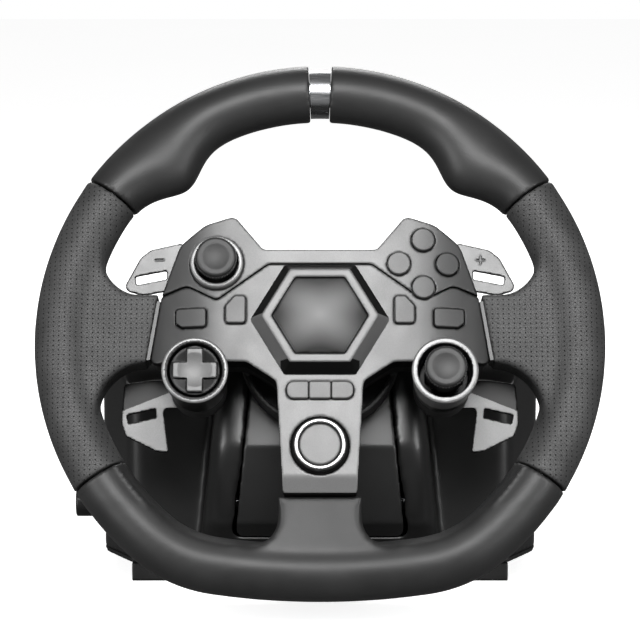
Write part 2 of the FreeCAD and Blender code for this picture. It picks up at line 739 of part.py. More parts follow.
def button_lip(u, v, outline, gap, low, high):
    """The lip round a button's foot; the buttons of the row have theirs only above and below."""
    lip = button_prism(u, v, outline, BUTTON_FLANGE + gap, low, high)
    if v == ROW_V and gap == 0:
        half = ROW_WIDTH / 2
        lip = lip.common(brick(u - half, u + half, v - 20, v + 20, low - 1, high + 1))
    return lip


def button_seat(u, outline):
    """Level of the back of the face under a button, taken where the face is lowest."""
    half = ROUND_BUTTON_RADIUS if outline is None else max(abs(p[0]) for p in outline)
    return surface(abs(u) + half + BUTTON_FLANGE) - FACE_WALL


def button_piece(u, v, outline):
    """A button with its lip and the stem that presses the switch."""
    seat = button_seat(u, outline)
    body = button_prism(u, v, outline, 0, seat - 1.2, 60).common(crown(-BUTTON_OUT))
    lip = button_lip(u, v, outline, 0, seat - 1.6, seat - BUTTON_GAP)
    stem = disc(u, v, 1.8, BOARD_TOP + SWITCH_HEIGHT + BUTTON_TRAVEL + 0.1, seat - 1.0)
    whole = fuse(body, lip, stem)
    top = surface(u) + BUTTON_OUT
    edges = []
    for edge in whole.Edges:
        straight_back = isinstance(edge.Curve, Part.Line) and abs(edge.Curve.Direction.y) > 0.99
        if not straight_back and -edge.CenterOfMass.y > top - 2.0:
            edges.append(edge)
    return whole.makeFillet(BUTTON_ROUND, edges)


def button_openings():
    """Holes in the face for the buttons and room behind it for their lips."""
    tools = []
    for _, u, v, outline in button_list():
        seat = button_seat(u, outline)
        tools.append(button_prism(u, v, outline, BUTTON_GAP, 0, 80))
        tools.append(button_lip(u, v, outline, BUTTON_GAP, 0, seat))
    return tools


def home_button():
    seat = FACE_LEVEL - FACE_WALL
    low = seat - 1.6
    cap = disc(0, HOME_V, HOME_RING_IN - BUTTON_GAP, low, HOME_CAP_TOP)
    cap = round_top(cap, HOME_CAP_TOP, 1.0)
    lip = disc(0, HOME_V, HOME_RING_IN + 0.9, low, seat - BUTTON_GAP)
    stem = disc(0, HOME_V, 1.8, BOARD_TOP + SWITCH_HEIGHT + BUTTON_TRAVEL + 0.1, low + 0.5)
    return fuse(cap, lip, stem)


def home_ring():
    ring = tube(0, HOME_V, HOME_RING_OUT, HOME_RING_IN, FACE_LEVEL - 1.4, HOME_RING_TOP)
    return round_top(ring, HOME_RING_TOP, 0.8)


def home_opening():
    return [
        disc(0, HOME_V, HOME_WELL, FACE_LEVEL - 1.4, 80),
        disc(0, HOME_V, HOME_RING_IN, 0, 80),
    ]


def faces():
    """Upper and lower face: one thin shell parted along the groove."""
    outline = face_outline()
    outer = plate(outline, FACE_FOOT, 60).common(crown())
    inner = grown(outline, FACE_FOOT - 1, 60, -FACE_WALL).common(crown(FACE_WALL))
    shell = outer.cut(inner)
    tools = button_openings() + home_opening()
    tools.append(disc(COLLAR_U, COLLAR_V, COLLAR_RADIUS + SEAT_GAP, 0, 80))
    for side in (-1, 1):
        tools.append(disc(side * POD_U, POD_V, POD_TOP_RADIUS + SEAT_GAP, 0, 80))
    for u, v in FACE_SCREWS:
        shell = shell.fuse(disc(u, v, 3.4, FACE_FOOT, surface(u) - 1.0))
        tools.append(disc(u, v, SCREW_RADIUS, 0, FACE_FOOT + 7))
    shell = cut(shell, *tools)
    cap = above_split()
    upper = shell.common(cap)
    lower = shell.cut(above_split(FACE_SPLIT_GAP))
    return biggest(upper), biggest(lower)


def biggest(shape):
    return max(shape.Solids, key=lambda s: s.Volume)


def hub_shell():
    """Tray behind the faces with the paddles' lugs, the pods' bosses and the shaft's cup."""
    outline = face_outline()
    outer = grown(outline, HUB_FLOOR_BACK, FACE_FOOT, -HUB_INSET)
    inner = grown(outline, FRAME_BACK - SEAT_GAP, FACE_FOOT + 1, -HUB_INSET - HUB_WALL)
    shell = outer.cut(inner)
    extra = []
    for side in (-1, 1):
        extra.append(disc(side * POD_U, POD_V, POD_FOOT_RADIUS, HUB_FLOOR_BACK, POD_FOOT - SEAT_GAP))
        for (low, high), w in ((UPPER_KNUCKLE, UPPER_PADDLE_W), (LOWER_KNUCKLE, LOWER_PADDLE_W)):
            for v0 in (low - LUG_GAP - LUG_THICK, high + LUG_GAP):
                extra.append(lug(side * PADDLE_HINGE_U, v0, v0 + LUG_THICK, w))
    extra.append(tube(0, 0, CUP_RADIUS, CUP_RADIUS - HUB_WALL, CUP_BACK, HUB_FLOOR_BACK))
    for u, v in BOARD_POSTS:
        extra.append(disc(u, v, 2.6, HUB_FLOOR_BACK, BOARD_BACK - SEAT_GAP))
    for u, v in FACE_SCREWS:
        extra.append(disc(u, v, 3.4, HUB_FLOOR_BACK, FACE_FOOT))
    shell = fuse(shell, *extra)
    tools = [frame_arms(CORE_GAP)]
    for side in (-1, 1):
        tools.append(disc(side * POD_U, POD_V, POD_FOOT_RADIUS - 3, HUB_FLOOR_BACK + 3, POD_FOOT))
        tools.append(disc(side * POD_U, POD_V, POD_FOOT_RADIUS + FIT_GAP, POD_FOOT - SEAT_GAP, 20))
        for (low, high), w in ((UPPER_KNUCKLE, UPPER_PADDLE_W), (LOWER_KNUCKLE, LOWER_PADDLE_W)):
            tools.append(rod_v(side * PADDLE_HINGE_U, w, PADDLE_PIN_RADIUS, low - 6, high + 6))
    for u, v in bolt_spots():
        tools.append(disc(u, v, BOLT_RADIUS + SEAT_GAP, -40, 0))
    for u, v in FACE_SCREWS:
        tools.append(disc(u, v, SCREW_RADIUS + SEAT_GAP, -40, 40))
        tools.append(disc(u, v, SCREW_HEAD + SEAT_GAP, -40, HUB_FLOOR_BACK + 2.2))
    return biggest(cut(shell, *tools))


def lug(u, v0, v1, w):
    arm = brick(u - KNUCKLE_RADIUS, u + KNUCKLE_RADIUS, v0, v1, w, HUB_FLOOR_BACK + 0.5)
    return arm.fuse(rod_v(u, w, KNUCKLE_RADIUS, v0, v1))


def hub_screws():
    """The screws that hold the faces to the hub shell from behind."""
    pieces = []
    for u, v in FACE_SCREWS:
        head = disc(u, v, SCREW_HEAD, HUB_FLOOR_BACK + 0.4, HUB_FLOOR_BACK + 2.2)
        shank = disc(u, v, SCREW_RADIUS, HUB_FLOOR_BACK + 2, FACE_FOOT + 6)
        pieces.append(head.fuse(shank).removeSplitter())
    return Part.makeCompound(pieces)


def flange_bolts():
    """The bolts that clamp the frame and the hub shell to the shaft's flange."""
    pieces = []
    for u, v in bolt_spots():
        head = disc(u, v, BOLT_HEAD_RADIUS, FRAME_FRONT, FRAME_FRONT + 2.4)
        shank = disc(u, v, BOLT_RADIUS, SHAFT_FLANGE_BACK - 1, FRAME_FRONT + 1)
        pieces.append(head.fuse(shank).removeSplitter())
    return Part.makeCompound(pieces)


def side_trims():
    """A bright strip between the face's outer edge and each spoke."""
    (top_u, top_v), (low_u, low_v) = FACE_HALF[4][:2], FACE_HALF[5][:2]
    inner, outer = 2 * SEAT_GAP, 2 * SEAT_GAP + TRIM_WIDTH
    strip = plate([
        (top_u + inner + 0.35, top_v - 2), (top_u + outer + 0.35, top_v - 2),
        (low_u + outer - 0.35, low_v + 2), (low_u + inner - 0.35, low_v + 2),
    ], TRIM_BACK, FACE_EDGE_LEVEL + 2)
    return Part.makeCompound([strip, mirrored(strip)])


def hexagon(tip, half_height):
    return [
        (tip, HEX_V), (tip * 0.51, HEX_V + half_height), (-tip * 0.51, HEX_V + half_height),
        (-tip, HEX_V), (-tip * 0.51, HEX_V - half_height), (tip * 0.51, HEX_V - half_height),
    ]


def hex_wire(tip, half_height, w, radius=1.5):
    points = [(u, v, radius) for u, v in hexagon(tip, half_height)]
    return rounded_wire(points, lambda u, v: at(u, v, w))


def hex_bezel():
    """Raised six-sided frame on its flared foot, with a pocket for the badge."""
    foot = hex_wire(HEX_TIP + HEX_SKIRT, HEX_HALF_HEIGHT + HEX_SKIRT * 0.8, FACE_LEVEL)
    top = hex_wire(HEX_TIP, HEX_HALF_HEIGHT, HEX_LEVEL)
    body = Part.makeLoft([foot, top], True, True)
    pocket = Part.Face(hex_wire(HEX_TIP - HEX_RIM, HEX_HALF_HEIGHT - HEX_RIM * 0.8, HEX_LEVEL - 4))
    hollow = plate(hexagon(HEX_TIP - 8, HEX_HALF_HEIGHT - 6.5), FACE_LEVEL - 1, HEX_LEVEL - 6)
    return cut(body, pocket.extrude(at(0, 0, 6)), hollow)


def hex_badge():
    """Domed six-sided badge."""
    tip = HEX_TIP - HEX_RIM - BADGE_GAP
    half = HEX_HALF_HEIGHT - HEX_RIM * 0.8 - BADGE_GAP
    low, high = HEX_LEVEL - 4, HEX_LEVEL - 0.8
    body = Part.Face(hex_wire(tip, half, low, 1.2)).extrude(at(0, 0, high - low + BADGE_CROWN))
    radius = (tip ** 2 + BADGE_CROWN ** 2) / (2 * BADGE_CROWN)
    ball = Part.makeSphere(radius, at(0, HEX_V, high + BADGE_CROWN - radius))
    return body.common(ball)


# ---------------------------------------------------------------- sticks and direction pad
def pod(u, v, pivot, foot, foot_radius, top, top_radius, mouth):
    """A cup that carries a gimbal: round wall, floor and two bearing posts."""
    if foot_radius == top_radius:
        body = disc(u, v, foot_radius, foot, top)
    else:
        body = cone(u, v, foot_radius, top_radius, foot, top)
    body = round_top(body, top, 0.8)
    floor = pivot - MODULE_DEEP
    bore = disc(u, v, foot_radius - POD_WALL, floor, top - POD_LIP)
    opening = disc(u, v, mouth, top - POD_MOUTH_DEEP, top + 1)
    under = disc(u, v, foot_radius - POD_WALL - 0.4, foot - 1, floor - MODULE_WALL)
    body = cut(body, bore, opening, under)
    posts = []
    for side in (-1, 1):
        inner, outer = side * (GIMBAL_OUT + POST_GAP), side * MODULE_HALF
        low, high = min(inner, outer), max(inner, outer)
        posts.append(brick(u + low, u + high, v - 2.6, v + 2.6, floor - 0.5, pivot + 2.2))
    pins = rod_u(v, pivot, PIN_RADIUS + PIN_GAP, u - 9, u + 9)
    return fuse(body, *posts).cut(pins)


def gimbal(u, v, pivot):
    """The ring between stick and pod; its own pins lie along u, the stick's along v."""
    ring = brick(u - GIMBAL_OUT, u + GIMBAL_OUT, v - GIMBAL_OUT, v + GIMBAL_OUT,
                 pivot - GIMBAL_HALF, pivot + GIMBAL_HALF)
    window = brick(u - GIMBAL_IN, u + GIMBAL_IN, v - GIMBAL_IN, v + GIMBAL_IN, pivot - 9, pivot + 9)
    pins = rod_u(v, pivot, PIN_RADIUS, u - MODULE_HALF, u + MODULE_HALF)
    stick_pins = rod_v(u, pivot, PIN_RADIUS + PIN_GAP, v - 9, v + 9)
    return cut(ring.fuse(pins), window, stick_pins)


def stick(u, v, pivot, cap_base):
    """Thumb stick: cap, stem, dust dome and the cross pin it tilts on."""
    cap_top = cap_base + STICK_CAP_HEIGHT
    cap = round_top(disc(u, v, STICK_CAP_RADIUS, cap_base, cap_top), cap_top, 1.4)
    dent_radius = 24.0
    dent = Part.makeSphere(dent_radius, at(u, v, cap_top - DISH + dent_radius))
    cap = cap.cut(dent)
    stem = disc(u, v, STICK_STEM, pivot, cap_base + 1)
    knob = Part.makeSphere(3.4, at(u, v, pivot))
    pins = rod_v(u, pivot, PIN_RADIUS, v - GIMBAL_OUT, v + GIMBAL_OUT)
    dome = Part.makeSphere(DOME_RADIUS, at(u, v, pivot))
    dome = dome.cut(Part.makeSphere(DOME_RADIUS - DOME_WALL, at(u, v, pivot)))
    dome = dome.common(disc(u, v, 30, pivot + DOME_FROM, pivot + 30))
    return fuse(cap, stem, knob, pins, dome)


def dpad():
    """Eight-way direction pad: a shallow dish with a raised cross."""
    u, v, pivot = -POD_U, POD_V, DPAD_PIVOT
    dish = disc(u, v, DPAD_RADIUS, DPAD_TOP - 2.6, DPAD_TOP)
    dish = dish.cut(cone(u, v, 4.0, DPAD_RADIUS - 1.2, DPAD_TOP - 1.2, DPAD_TOP + 0.02))
    half, arm = DPAD_ARM_HALF, DPAD_ARM
    cross = plate([
        (-half, arm, 0.8), (half, arm, 0.8), (half, half), (arm, half, 0.8), (arm, -half, 0.8),
        (half, -half), (half, -arm, 0.8), (-half, -arm, 0.8), (-half, -half), (-arm, -half, 0.8),
        (-arm, half, 0.8), (-half, half),
    ], DPAD_TOP - 2.0, DPAD_TOP + 1.6)
    cross.translate(Vector(u, 0, v))
    hollow = Part.makeSphere(30.0, at(u, v, DPAD_TOP + 0.4 + 30.0))
    stem = disc(u, v, STICK_STEM, pivot, DPAD_TOP - 1.5)
    knob = Part.makeSphere(3.4, at(u, v, pivot))
    pins = rod_v(u, pivot, PIN_RADIUS, v - GIMBAL_OUT, v + GIMBAL_OUT)
    return fuse(dish, cross.cut(hollow), stem, knob, pins)


# ---------------------------------------------------------------- board and motors
def control_board():
    """Printed circuit board with a switch under every button."""
    board = grown(face_outline(), BOARD_BACK, BOARD_TOP, -HUB_INSET - HUB_WALL - 0.5)
    tools = [disc(u, v, 3.9, 0, 20) for u, v in FACE_SCREWS]
    tools += [disc(side * POD_U, POD_V, POD_FOOT_RADIUS + FIT_GAP, 0, 20) for side in (-1, 1)]
    board = biggest(cut(board, *tools))
    switches = []
    spots = [(u, v) for _, u, v, _ in button_list()] + [(0.0, HOME_V)]
    for u, v in spots:
        half = SWITCH_HALF
        switches.append(brick(u - half, u + half, v - half, v + half, BOARD_TOP - 0.1,
                              BOARD_TOP + SWITCH_HEIGHT - 0.8))
        switches.append(disc(u, v, 1.5, BOARD_TOP, BOARD_TOP + SWITCH_HEIGHT))
    return fuse(board, *switches)


def vibration_motors():
    """Two small motors with eccentric weights, cradled on the hub shell's floor."""
    w = FRAME_BACK + MOTOR_RADIUS
    motor = rod_u(MOTOR_V, w, MOTOR_RADIUS, 44, 60)
    motor = motor.fuse(rod_u(MOTOR_V, w, 1.0, 60, 66))
    weight = rod_u(MOTOR_V, w, MOTOR_RADIUS - 0.6, 61.5, 65.5)
    weight = weight.cut(brick(60, 70, MOTOR_V - 9, MOTOR_V + 0.8, -9, 9))
    one = motor.fuse(weight)
    return Part.makeCompound([one, mirrored(one)])


# ---------------------------------------------------------------- paddles
def paddle(outline, slot, knuckle, w):
    """Right hand shift paddle with its knuckle; the slot goes right through."""
    body = plate(outline, w - PADDLE_THICK / 2, w + PADDLE_THICK / 2)
    window = plate(slot, w - 10, w + 10)
    barrel = rod_v(PADDLE_HINGE_U, w, KNUCKLE_RADIUS, knuckle[0], knuckle[1])
    pin = rod_v(PADDLE_HINGE_U, w, PADDLE_PIN_RADIUS + PADDLE_PIN_GAP, knuckle[0] - 9, knuckle[1] + 9)
    return cut(body.fuse(barrel), window, pin)


def paddle_sign(plus):
    """Shallow recess in an upper paddle's front: a plus, or only its level bar."""
    u, v = SIGN_AT
    front = UPPER_PADDLE_W + PADDLE_THICK / 2
    level = brick(u - 2.6, u + 2.6, v - 0.5, v + 0.5, front - 0.4, front + 2)
    if not plus:
        return level
    return level.fuse(brick(u - 0.5, u + 0.5, v - 2.6, v + 2.6, front - 0.4, front + 2))


def paddle_pins():
    """Four steel pins held in the hub shell's lugs."""
    pins = []
    for side in (-1, 1):
        for (low, high), w in ((UPPER_KNUCKLE, UPPER_PADDLE_W), (LOWER_KNUCKLE, LOWER_PADDLE_W)):
            reach = LUG_GAP + LUG_THICK
            pins.append(rod_v(side * PADDLE_HINGE_U, w, PADDLE_PIN_RADIUS, low - reach, high + reach))
    return Part.makeCompound(pins)


# ---------------------------------------------------------------- gears
def involute(angle):
    return math.tan(angle) - angle


def gear_wire(teeth, module, thin, phase, place):
    """Closed outline of a spur gear; thin is taken off each tooth's width for backlash."""
    pitch = module * teeth / 2
    base = pitch * math.cos(PRESSURE)
    tip = pitch + ADDENDUM * module
    root = pitch - DEDENDUM * module
    start = max(root, base + 0.001)
    half_pitch = math.pi / (2 * teeth) - thin / (2 * pitch)

    def half(radius):
        return half_pitch + involute(PRESSURE) - involute(math.acos(min(1.0, base / radius)))

    def spot(radius, angle):
        return place(radius * math.cos(angle), radius * math.sin(angle))

    radii = [start + (tip - start) * k / 3 for k in range(4)]
    step = 2 * math.pi / teeth
    edges = []
    for i in range(teeth):
        centre = phase + i * step
        for side in (-1, 1):
            flank = [spot(r, centre + side * half(r)) for r in radii]
            if root < start - 0.01:
                edges.append(Part.LineSegment(spot(root, centre + side * half(start)), flank[0]).toShape())
            curve = Part.BSplineCurve()
            curve.interpolate(flank)
            edges.append(curve.toShape())
        top = half(tip)
        edges.append(Part.Arc(spot(tip, centre - top), spot(tip, centre), spot(tip, centre + top)).toShape())
        low, gap = half(start), centre + step / 2
        edges.append(Part.Arc(spot(root, centre + low), spot(root, gap),
                              spot(root, centre + step - low)).toShape())
    return Part.Wire(Part.__sortEdges__(edges))


def drive_gear():
    """Gear pressed on the steering shaft."""
    low, high = GEAR_W
    phase = -math.pi / 2
    wire = gear_wire(DRIVE_TEETH, GEAR_MODULE, GEAR_BACKLASH / 2, phase, lambda a, b: at(a, b, low))
    body = Part.Face(wire).extrude(at(0, 0, high - low))
    boss = disc(0, 0, SHAFT_RADIUS + 4, low - 3, low)
    return cut(body.fuse(boss), disc(0, 0, SHAFT_RADIUS, -80, -50))


def encoder_pinion():
    """Small gear on the encoder's shaft."""
    low, high = GEAR_W
    phase = math.pi / 2 + math.pi / PINION_TEETH
    wire = gear_wire(PINION_TEETH, GEAR_MODULE, GEAR_BACKLASH / 2, phase,
                     lambda a, b: at(a, b + ENCODER_V, low))
    body = Part.Face(wire).extrude(at(0, 0, high - low))
    shaft = disc(0, ENCODER_V, ENCODER_SHAFT_RADIUS, low - 1, PLATE_FRONT_W + 3)
    return body.fuse(shaft)


def steering_shaft():
    """Steel shaft with the flange that carries the wheel."""
    shaft = disc(0, 0, SHAFT_RADIUS, SHAFT_BACK, HUB_FLOOR_BACK - SEAT_GAP)
    flange = disc(0, 0, SHAFT_FLANGE_RADIUS, SHAFT_FLANGE_BACK, HUB_FLOOR_BACK - SEAT_GAP)
    holes = [disc(u, v, BOLT_RADIUS, -40, 0) for u, v in bolt_spots()]
    return cut(shaft.fuse(flange), *holes)


def shaft_bushes():
    """Two flanged bushes that the shaft turns in."""
    bushes = []
    for middle in (PLATE_FRONT_W, PLATE_REAR_W):
        sleeve = disc(0, 0, BUSH_RADIUS, middle - PLATE_THICK / 2, middle + PLATE_THICK / 2 + 4)
        flange = disc(0, 0, BUSH_FLANGE, middle + PLATE_THICK / 2, middle + PLATE_THICK / 2 + 2)
        bore = disc(0, 0, SHAFT_RADIUS + BUSH_GAP, middle - 20, middle + 20)
        bushes.append(sleeve.fuse(flange).cut(bore))
    return Part.makeCompound(bushes)


def centring_spring():
    """Flat spiral spring round the shaft, anchored to a post on the rear plate."""
    low, high = SPRING_W
    steps = int(SPRING_TURNS * 8)
    outer, inner = [], []
    for i in range(steps + 1):
        part = i / steps
        outer.append(spiral_point(spring_radius(part) + SPRING_STRIP / 2, SPRING_TURNS * part, low))
        inner.append(spiral_point(spring_radius(part) - SPRING_STRIP / 2, SPRING_TURNS * part, low))
    edges = []
    for path in (outer, inner):
        curve = Part.BSplineCurve()
        curve.interpolate(path)
        edges.append(curve.toShape())
    edges.append(Part.LineSegment(outer[0], inner[0]).toShape())
    edges.append(Part.LineSegment(outer[-1], inner[-1]).toShape())
    return Part.Face(Part.Wire(Part.__sortEdges__(edges))).extrude(at(0, 0, high - low))


def spring_radius(part):
    """Radius of the strip's middle, part of the way from its inner to its outer end."""
    return SPRING_IN + SPRING_STRIP / 2 + (SPRING_OUT - SPRING_IN - SPRING_STRIP) * part


def spiral_point(radius, turn, w):
    angle = 2 * math.pi * turn
    return at(radius * math.cos(angle), radius * math.sin(angle), w)


# ---------------------------------------------------------------- base
def offset_slab(points, left, right, inset):
    wire = rounded_wire(points, lambda y, z: Vector(left, y, z))
    face = Part.Face(wire)
    if inset:
        face = face.makeOffset2D(-inset)
    return face.extrude(Vector(right - left, 0, 0))


def block_section(z, front, half, back, radius):
    """A level section of the middle block: a rectangle with rounded corners."""
    corners = [(-half, front, radius), (half, front, radius), (half, back, radius), (-half, back, radius)]
    return rounded_wire(corners, lambda x, y: Vector(x, y, z))


def middle_block(inset):
    """The base's middle: undercut at the desk, upright to the crease, then leaning with the wheel."""
    top = desk_point(0, BLOCK_TOP_V, -BASE_GAP)
    lean = math.radians(TILT)
    crease_v = (CREASE_HEIGHT - AXIS_HEIGHT + BASE_GAP * math.sin(lean)) / math.cos(lean)
    crease = desk_point(0, crease_v, -BASE_GAP)
    slope = (top.y - crease.y) / (top.z - crease.z)
    spread = (BLOCK_HALF_BOTTOM - BLOCK_HALF_TOP) / (top.z - BASE_BOTTOM)
    levels = [
        (BASE_BOTTOM, crease.y + UNDERCUT_DEPTH, 0), (UNDERCUT_HEIGHT, crease.y, 0),
        (crease.z, crease.y, 0), (top.z - BLOCK_BEVEL, top.y - slope * BLOCK_BEVEL, 0),
        (top.z, top.y + BLOCK_BEVEL, BLOCK_BEVEL),
    ]
    wires = []
    for z, front, narrow in levels:
        half = BLOCK_HALF_BOTTOM - spread * (z - BASE_BOTTOM) - narrow - inset
        height = min(z, top.z - inset)
        wires.append(block_section(height, front + inset, half, BASE_BACK - inset, BLOCK_EDGE - inset))
    body = Part.makeLoft(wires, True, True)
    roof = [
        (-60.0, 0.0), (-60.0, top.z), (ROOF_BACK, ROOF_HEIGHT, 40.0),
        (BASE_BACK, REAR_HEIGHT, 24.0), (BASE_BACK, 0.0),
    ]
    roof = [(y, z, r[0] if r else 0) for y, z, *r in roof]
    return body.common(offset_slab(roof, -BASE_HALF, BASE_HALF, inset))


def base_solid(inset=0.0):
    """The base's outer form; inset gives the hollow inside it."""
    middle = middle_block(inset)
    wing_side = [
        (WING_FRONT, BASE_BOTTOM, 3.0), (WING_FRONT, WING_TOP, 26.0), (150.0, WING_TOP, 60.0),
        (BASE_BACK - 6, 62.0, 20.0), (BASE_BACK - 6, BASE_BOTTOM, 4.0),
    ]
    wings = offset_slab(wing_side, -BASE_HALF, BASE_HALF, inset)
    rear_half = BASE_HALF - 28.0
    plan = [
        (-WING_FRONT_HALF, WING_FRONT, 10.0), (WING_FRONT_HALF, WING_FRONT, 10.0),
        (BASE_HALF, WING_FRONT + 26, 14.0), (BASE_HALF, 160.0, 30.0), (rear_half, BASE_BACK, 20.0),
        (-rear_half, BASE_BACK, 20.0), (-BASE_HALF, 160.0, 30.0), (-BASE_HALF, WING_FRONT + 26, 14.0),
    ]
    wire = rounded_wire(plan, lambda x, y: Vector(x, y, 0))
    face = Part.Face(wire)
    if inset:
        face = face.makeOffset2D(-inset)
    wings = wings.common(face.extrude(Vector(0, 0, 200)))
    return middle.fuse(wings)


def panel_prism(gap=0.0):
    """The front panel's outline as a prism through the base's front wall."""
    points = [
        (-PANEL_HALF_BOTTOM - gap, PANEL_LOW - gap, 4.0), (PANEL_HALF_BOTTOM + gap, PANEL_LOW - gap, 4.0),
        (PANEL_HALF_TOP + gap, PANEL_HIGH + gap, 8.0), (-PANEL_HALF_TOP - gap, PANEL_HIGH + gap, 8.0),
    ]
    wire = rounded_wire(points, lambda x, z: Vector(x, -10, z))
    return Part.Face(wire).extrude(Vector(0, 58, 0))


def base_pieces():
    """Housing, front panel and bottom tray."""
    outer = base_solid()
    inner = base_solid(BASE_WALL)
    shell = outer.cut(inner)
    split = BASE_BOTTOM + TRAY_THICK
    above = block(-FAR, FAR, -FAR, FAR, split, FAR)
    below = block(-FAR, FAR, -FAR, FAR, 0, split)
    slots = [jaw_slot(side) for side in (-1, 1)]
    cross = rod_x(CROSS_Y, CROSS_HEIGHT, CROSS_RADIUS + 0.4, -BASE_HALF - 38, -JAW_U - 5)
    shaft_hole = wheel_to_desk(disc(0, 0, SHAFT_HOLE, -60, -20))
    panel = biggest(shell.common(above).common(panel_prism()).cut(shaft_hole))
    tray_holes = []
    pilot_holes = []
    for x, y in TRAY_SCREWS:
        tray_holes.append(post(x, y, TRAY_SCREW_RADIUS + 0.2, 0, 40))
        tray_holes.append(post(x, y, 3.6, BASE_BOTTOM - 0.5, BASE_BOTTOM + 1.5))
        pilot_holes.append(post(x, y, TRAY_SCREW_RADIUS, split - 1, split + 12))
    walls = shell.common(above).cut(panel_prism(PANEL_GAP))
    housing = fuse(biggest(walls), *[bracket(x, y, split) for x, y in TRAY_SCREWS])
    housing = cut(housing, cross, rear_cuts(), *slots, *pilot_holes)
    tray = outer.common(below)
    tray = cut(tray, *slots, *tray_holes)
    guides = []
    room = base_solid(BASE_WALL + FIT_GAP)
    for side in (-1, 1):
        guides.append(jaw_guide(side, split).common(room))
    tray = fuse(biggest(tray), *guides)
    return biggest(housing), panel, biggest(tray)


def bracket(x, y, low):
    """A screw boss that reaches sideways into the housing's wall."""
    boss = post(x, y, BOSS_RADIUS, low, low + BOSS_HEIGHT)
    return boss.fuse(block(x - 2.5, x + 2.5, y - 2.5, y + 2.5, low, low + BOSS_HEIGHT))


def rear_cuts():
    """Openings in the rear wall for the sockets and the cord's gland."""
    low, high = SOCKET_HEIGHT - 6, SOCKET_HEIGHT + 6
    tools = [rod_y(GLAND_X, SOCKET_HEIGHT, GLAND_RADIUS, BASE_BACK - 20, BASE_BACK + 20)]
    for x in SOCKETS:
        tools.append(block(x - 7, x + 7, BASE_BACK - 20, BASE_BACK + 10, low, high))
    return tools[0].multiFuse(tools[1:])


def rear_connectors():
    """Two socket housings and the cord's gland, set in the rear wall."""
    pieces = []
    wall, level = BASE_BACK, SOCKET_HEIGHT
    for x in SOCKETS:
        shell = block(x - 6.9, x + 6.9, wall - 16, wall + 0.6, level - 5.9, level + 5.9)
        mouth = block(x - 5.4, x + 5.4, wall - 12, wall + 5, level - 4.2, level + 4.2)
        pieces.append(shell.cut(mouth))
    gland = rod_y(GLAND_X, level, GLAND_RADIUS - 0.1, wall - 8, wall - 8 + GLAND_LENGTH)
    collar = rod_y(GLAND_X, level, GLAND_RADIUS + 1.4, wall + 0.1, wall + 1.7)
    bore = rod_y(GLAND_X, level, GLAND_BORE, wall - 20, wall + 20)
    pieces.append(gland.fuse(collar).cut(bore))
    return Part.makeCompound(pieces)


def chassis():
    """Steel carrier of the shaft: foot plate, ballast bar, two leaning uprights and side plates."""
    low = BASE_BOTTOM + TRAY_THICK
    foot = block(-PLATE_HALF, PLATE_HALF, FOOT_FRONT, 150, low, low + CHASSIS_FOOT)
    ballast = block(-46, 46, 112, 168, low, low + 24)
    uprights = []
    for middle, lowest in ((PLATE_FRONT_W, FRONT_PLATE_LOW), (PLATE_REAR_W, -150)):
        upright = brick(-PLATE_HALF, PLATE_HALF, lowest, PLATE_TOP,
                        middle - PLATE_THICK / 2, middle + PLATE_THICK / 2)
        upright = upright.cut(disc(0, 0, BUSH_RADIUS, middle - 20, middle + 20))
        uprights.append(wheel_to_desk(upright).common(block(-60, 60, 10, 200, low, 200)))
    corners = [
        desk_point(0, FRONT_PLATE_LOW, PLATE_FRONT_W), desk_point(0, 0, PLATE_FRONT_W),
        desk_point(0, 0, PLATE_REAR_W), Vector(0, desk_point(0, -80, PLATE_REAR_W).y, low + 1),
        Vector(0, FOOT_FRONT + 2, low + 1),
    ]
    outline = [(p.y, p.z, 0) for p in corners]
    for left in (-PLATE_HALF, PLATE_HALF - PLATE_THICK):
        side = slab(outline, left, left + PLATE_THICK)
        uprights.append(side.cut(rod_x(CROSS_Y, CROSS_HEIGHT, CROSS_RADIUS + 2, -100, 100)))
    tools = [wheel_to_desk(disc(0, ENCODER_V, ENCODER_SHAFT_RADIUS + 0.4, -80, -40))]
    body = fuse(foot, ballast, *uprights)
    stiff = wheel_to_desk(disc(SPRING_OUT - 1, 0, 2.0, PLATE_REAR_W, SPRING_W[1]))
    return biggest(cut(body, *tools).fuse(stiff).cut(wheel_to_desk(centring_spring_room())))


def centring_spring_room():
    low, high = SPRING_W
    return disc(0, 0, SPRING_OUT, low - 0.2, high + 0.2)


def encoder_board():
    """Angle sensor on the front upright, round the pinion's shaft."""
    back = PLATE_FRONT_W - PLATE_THICK / 2
    case = brick(-9, 9, ENCODER_V - 9, ENCODER_V + 9, back - 3.6, back - SEAT_GAP)
    board = brick(-16, 16, ENCODER_V - 22, ENCODER_V - 8, back - 1.8, back - SEAT_GAP)
    bore = disc(0, ENCODER_V, ENCODER_SHAFT_RADIUS + 0.06, -80, -40)
    return cut(case.fuse(board), bore)


def suction_feet():
    """Rubber feet under the tray."""
    feet = []
    for x, y in FEET:
        foot = Part.makeCone(FOOT_RADIUS - 2, FOOT_RADIUS, BASE_BOTTOM, Vector(x, y, 0), Vector(0, 0, 1))
        feet.append(foot)
    return Part.makeCompound(feet)


def housing_screws():
    """Screws through the tray into the housing."""
    screws = []
    for x, y in TRAY_SCREWS:
        head = post(x, y, 3.4, BASE_BOTTOM + 0.2, BASE_BOTTOM + 1.5)
        shank = post(x, y, TRAY_SCREW_RADIUS, BASE_BOTTOM + 1, BASE_BOTTOM + 13)
        screws.append(head.fuse(shank).removeSplitter())
    return Part.makeCompound(screws)


# ---------------------------------------------------------------- clamp


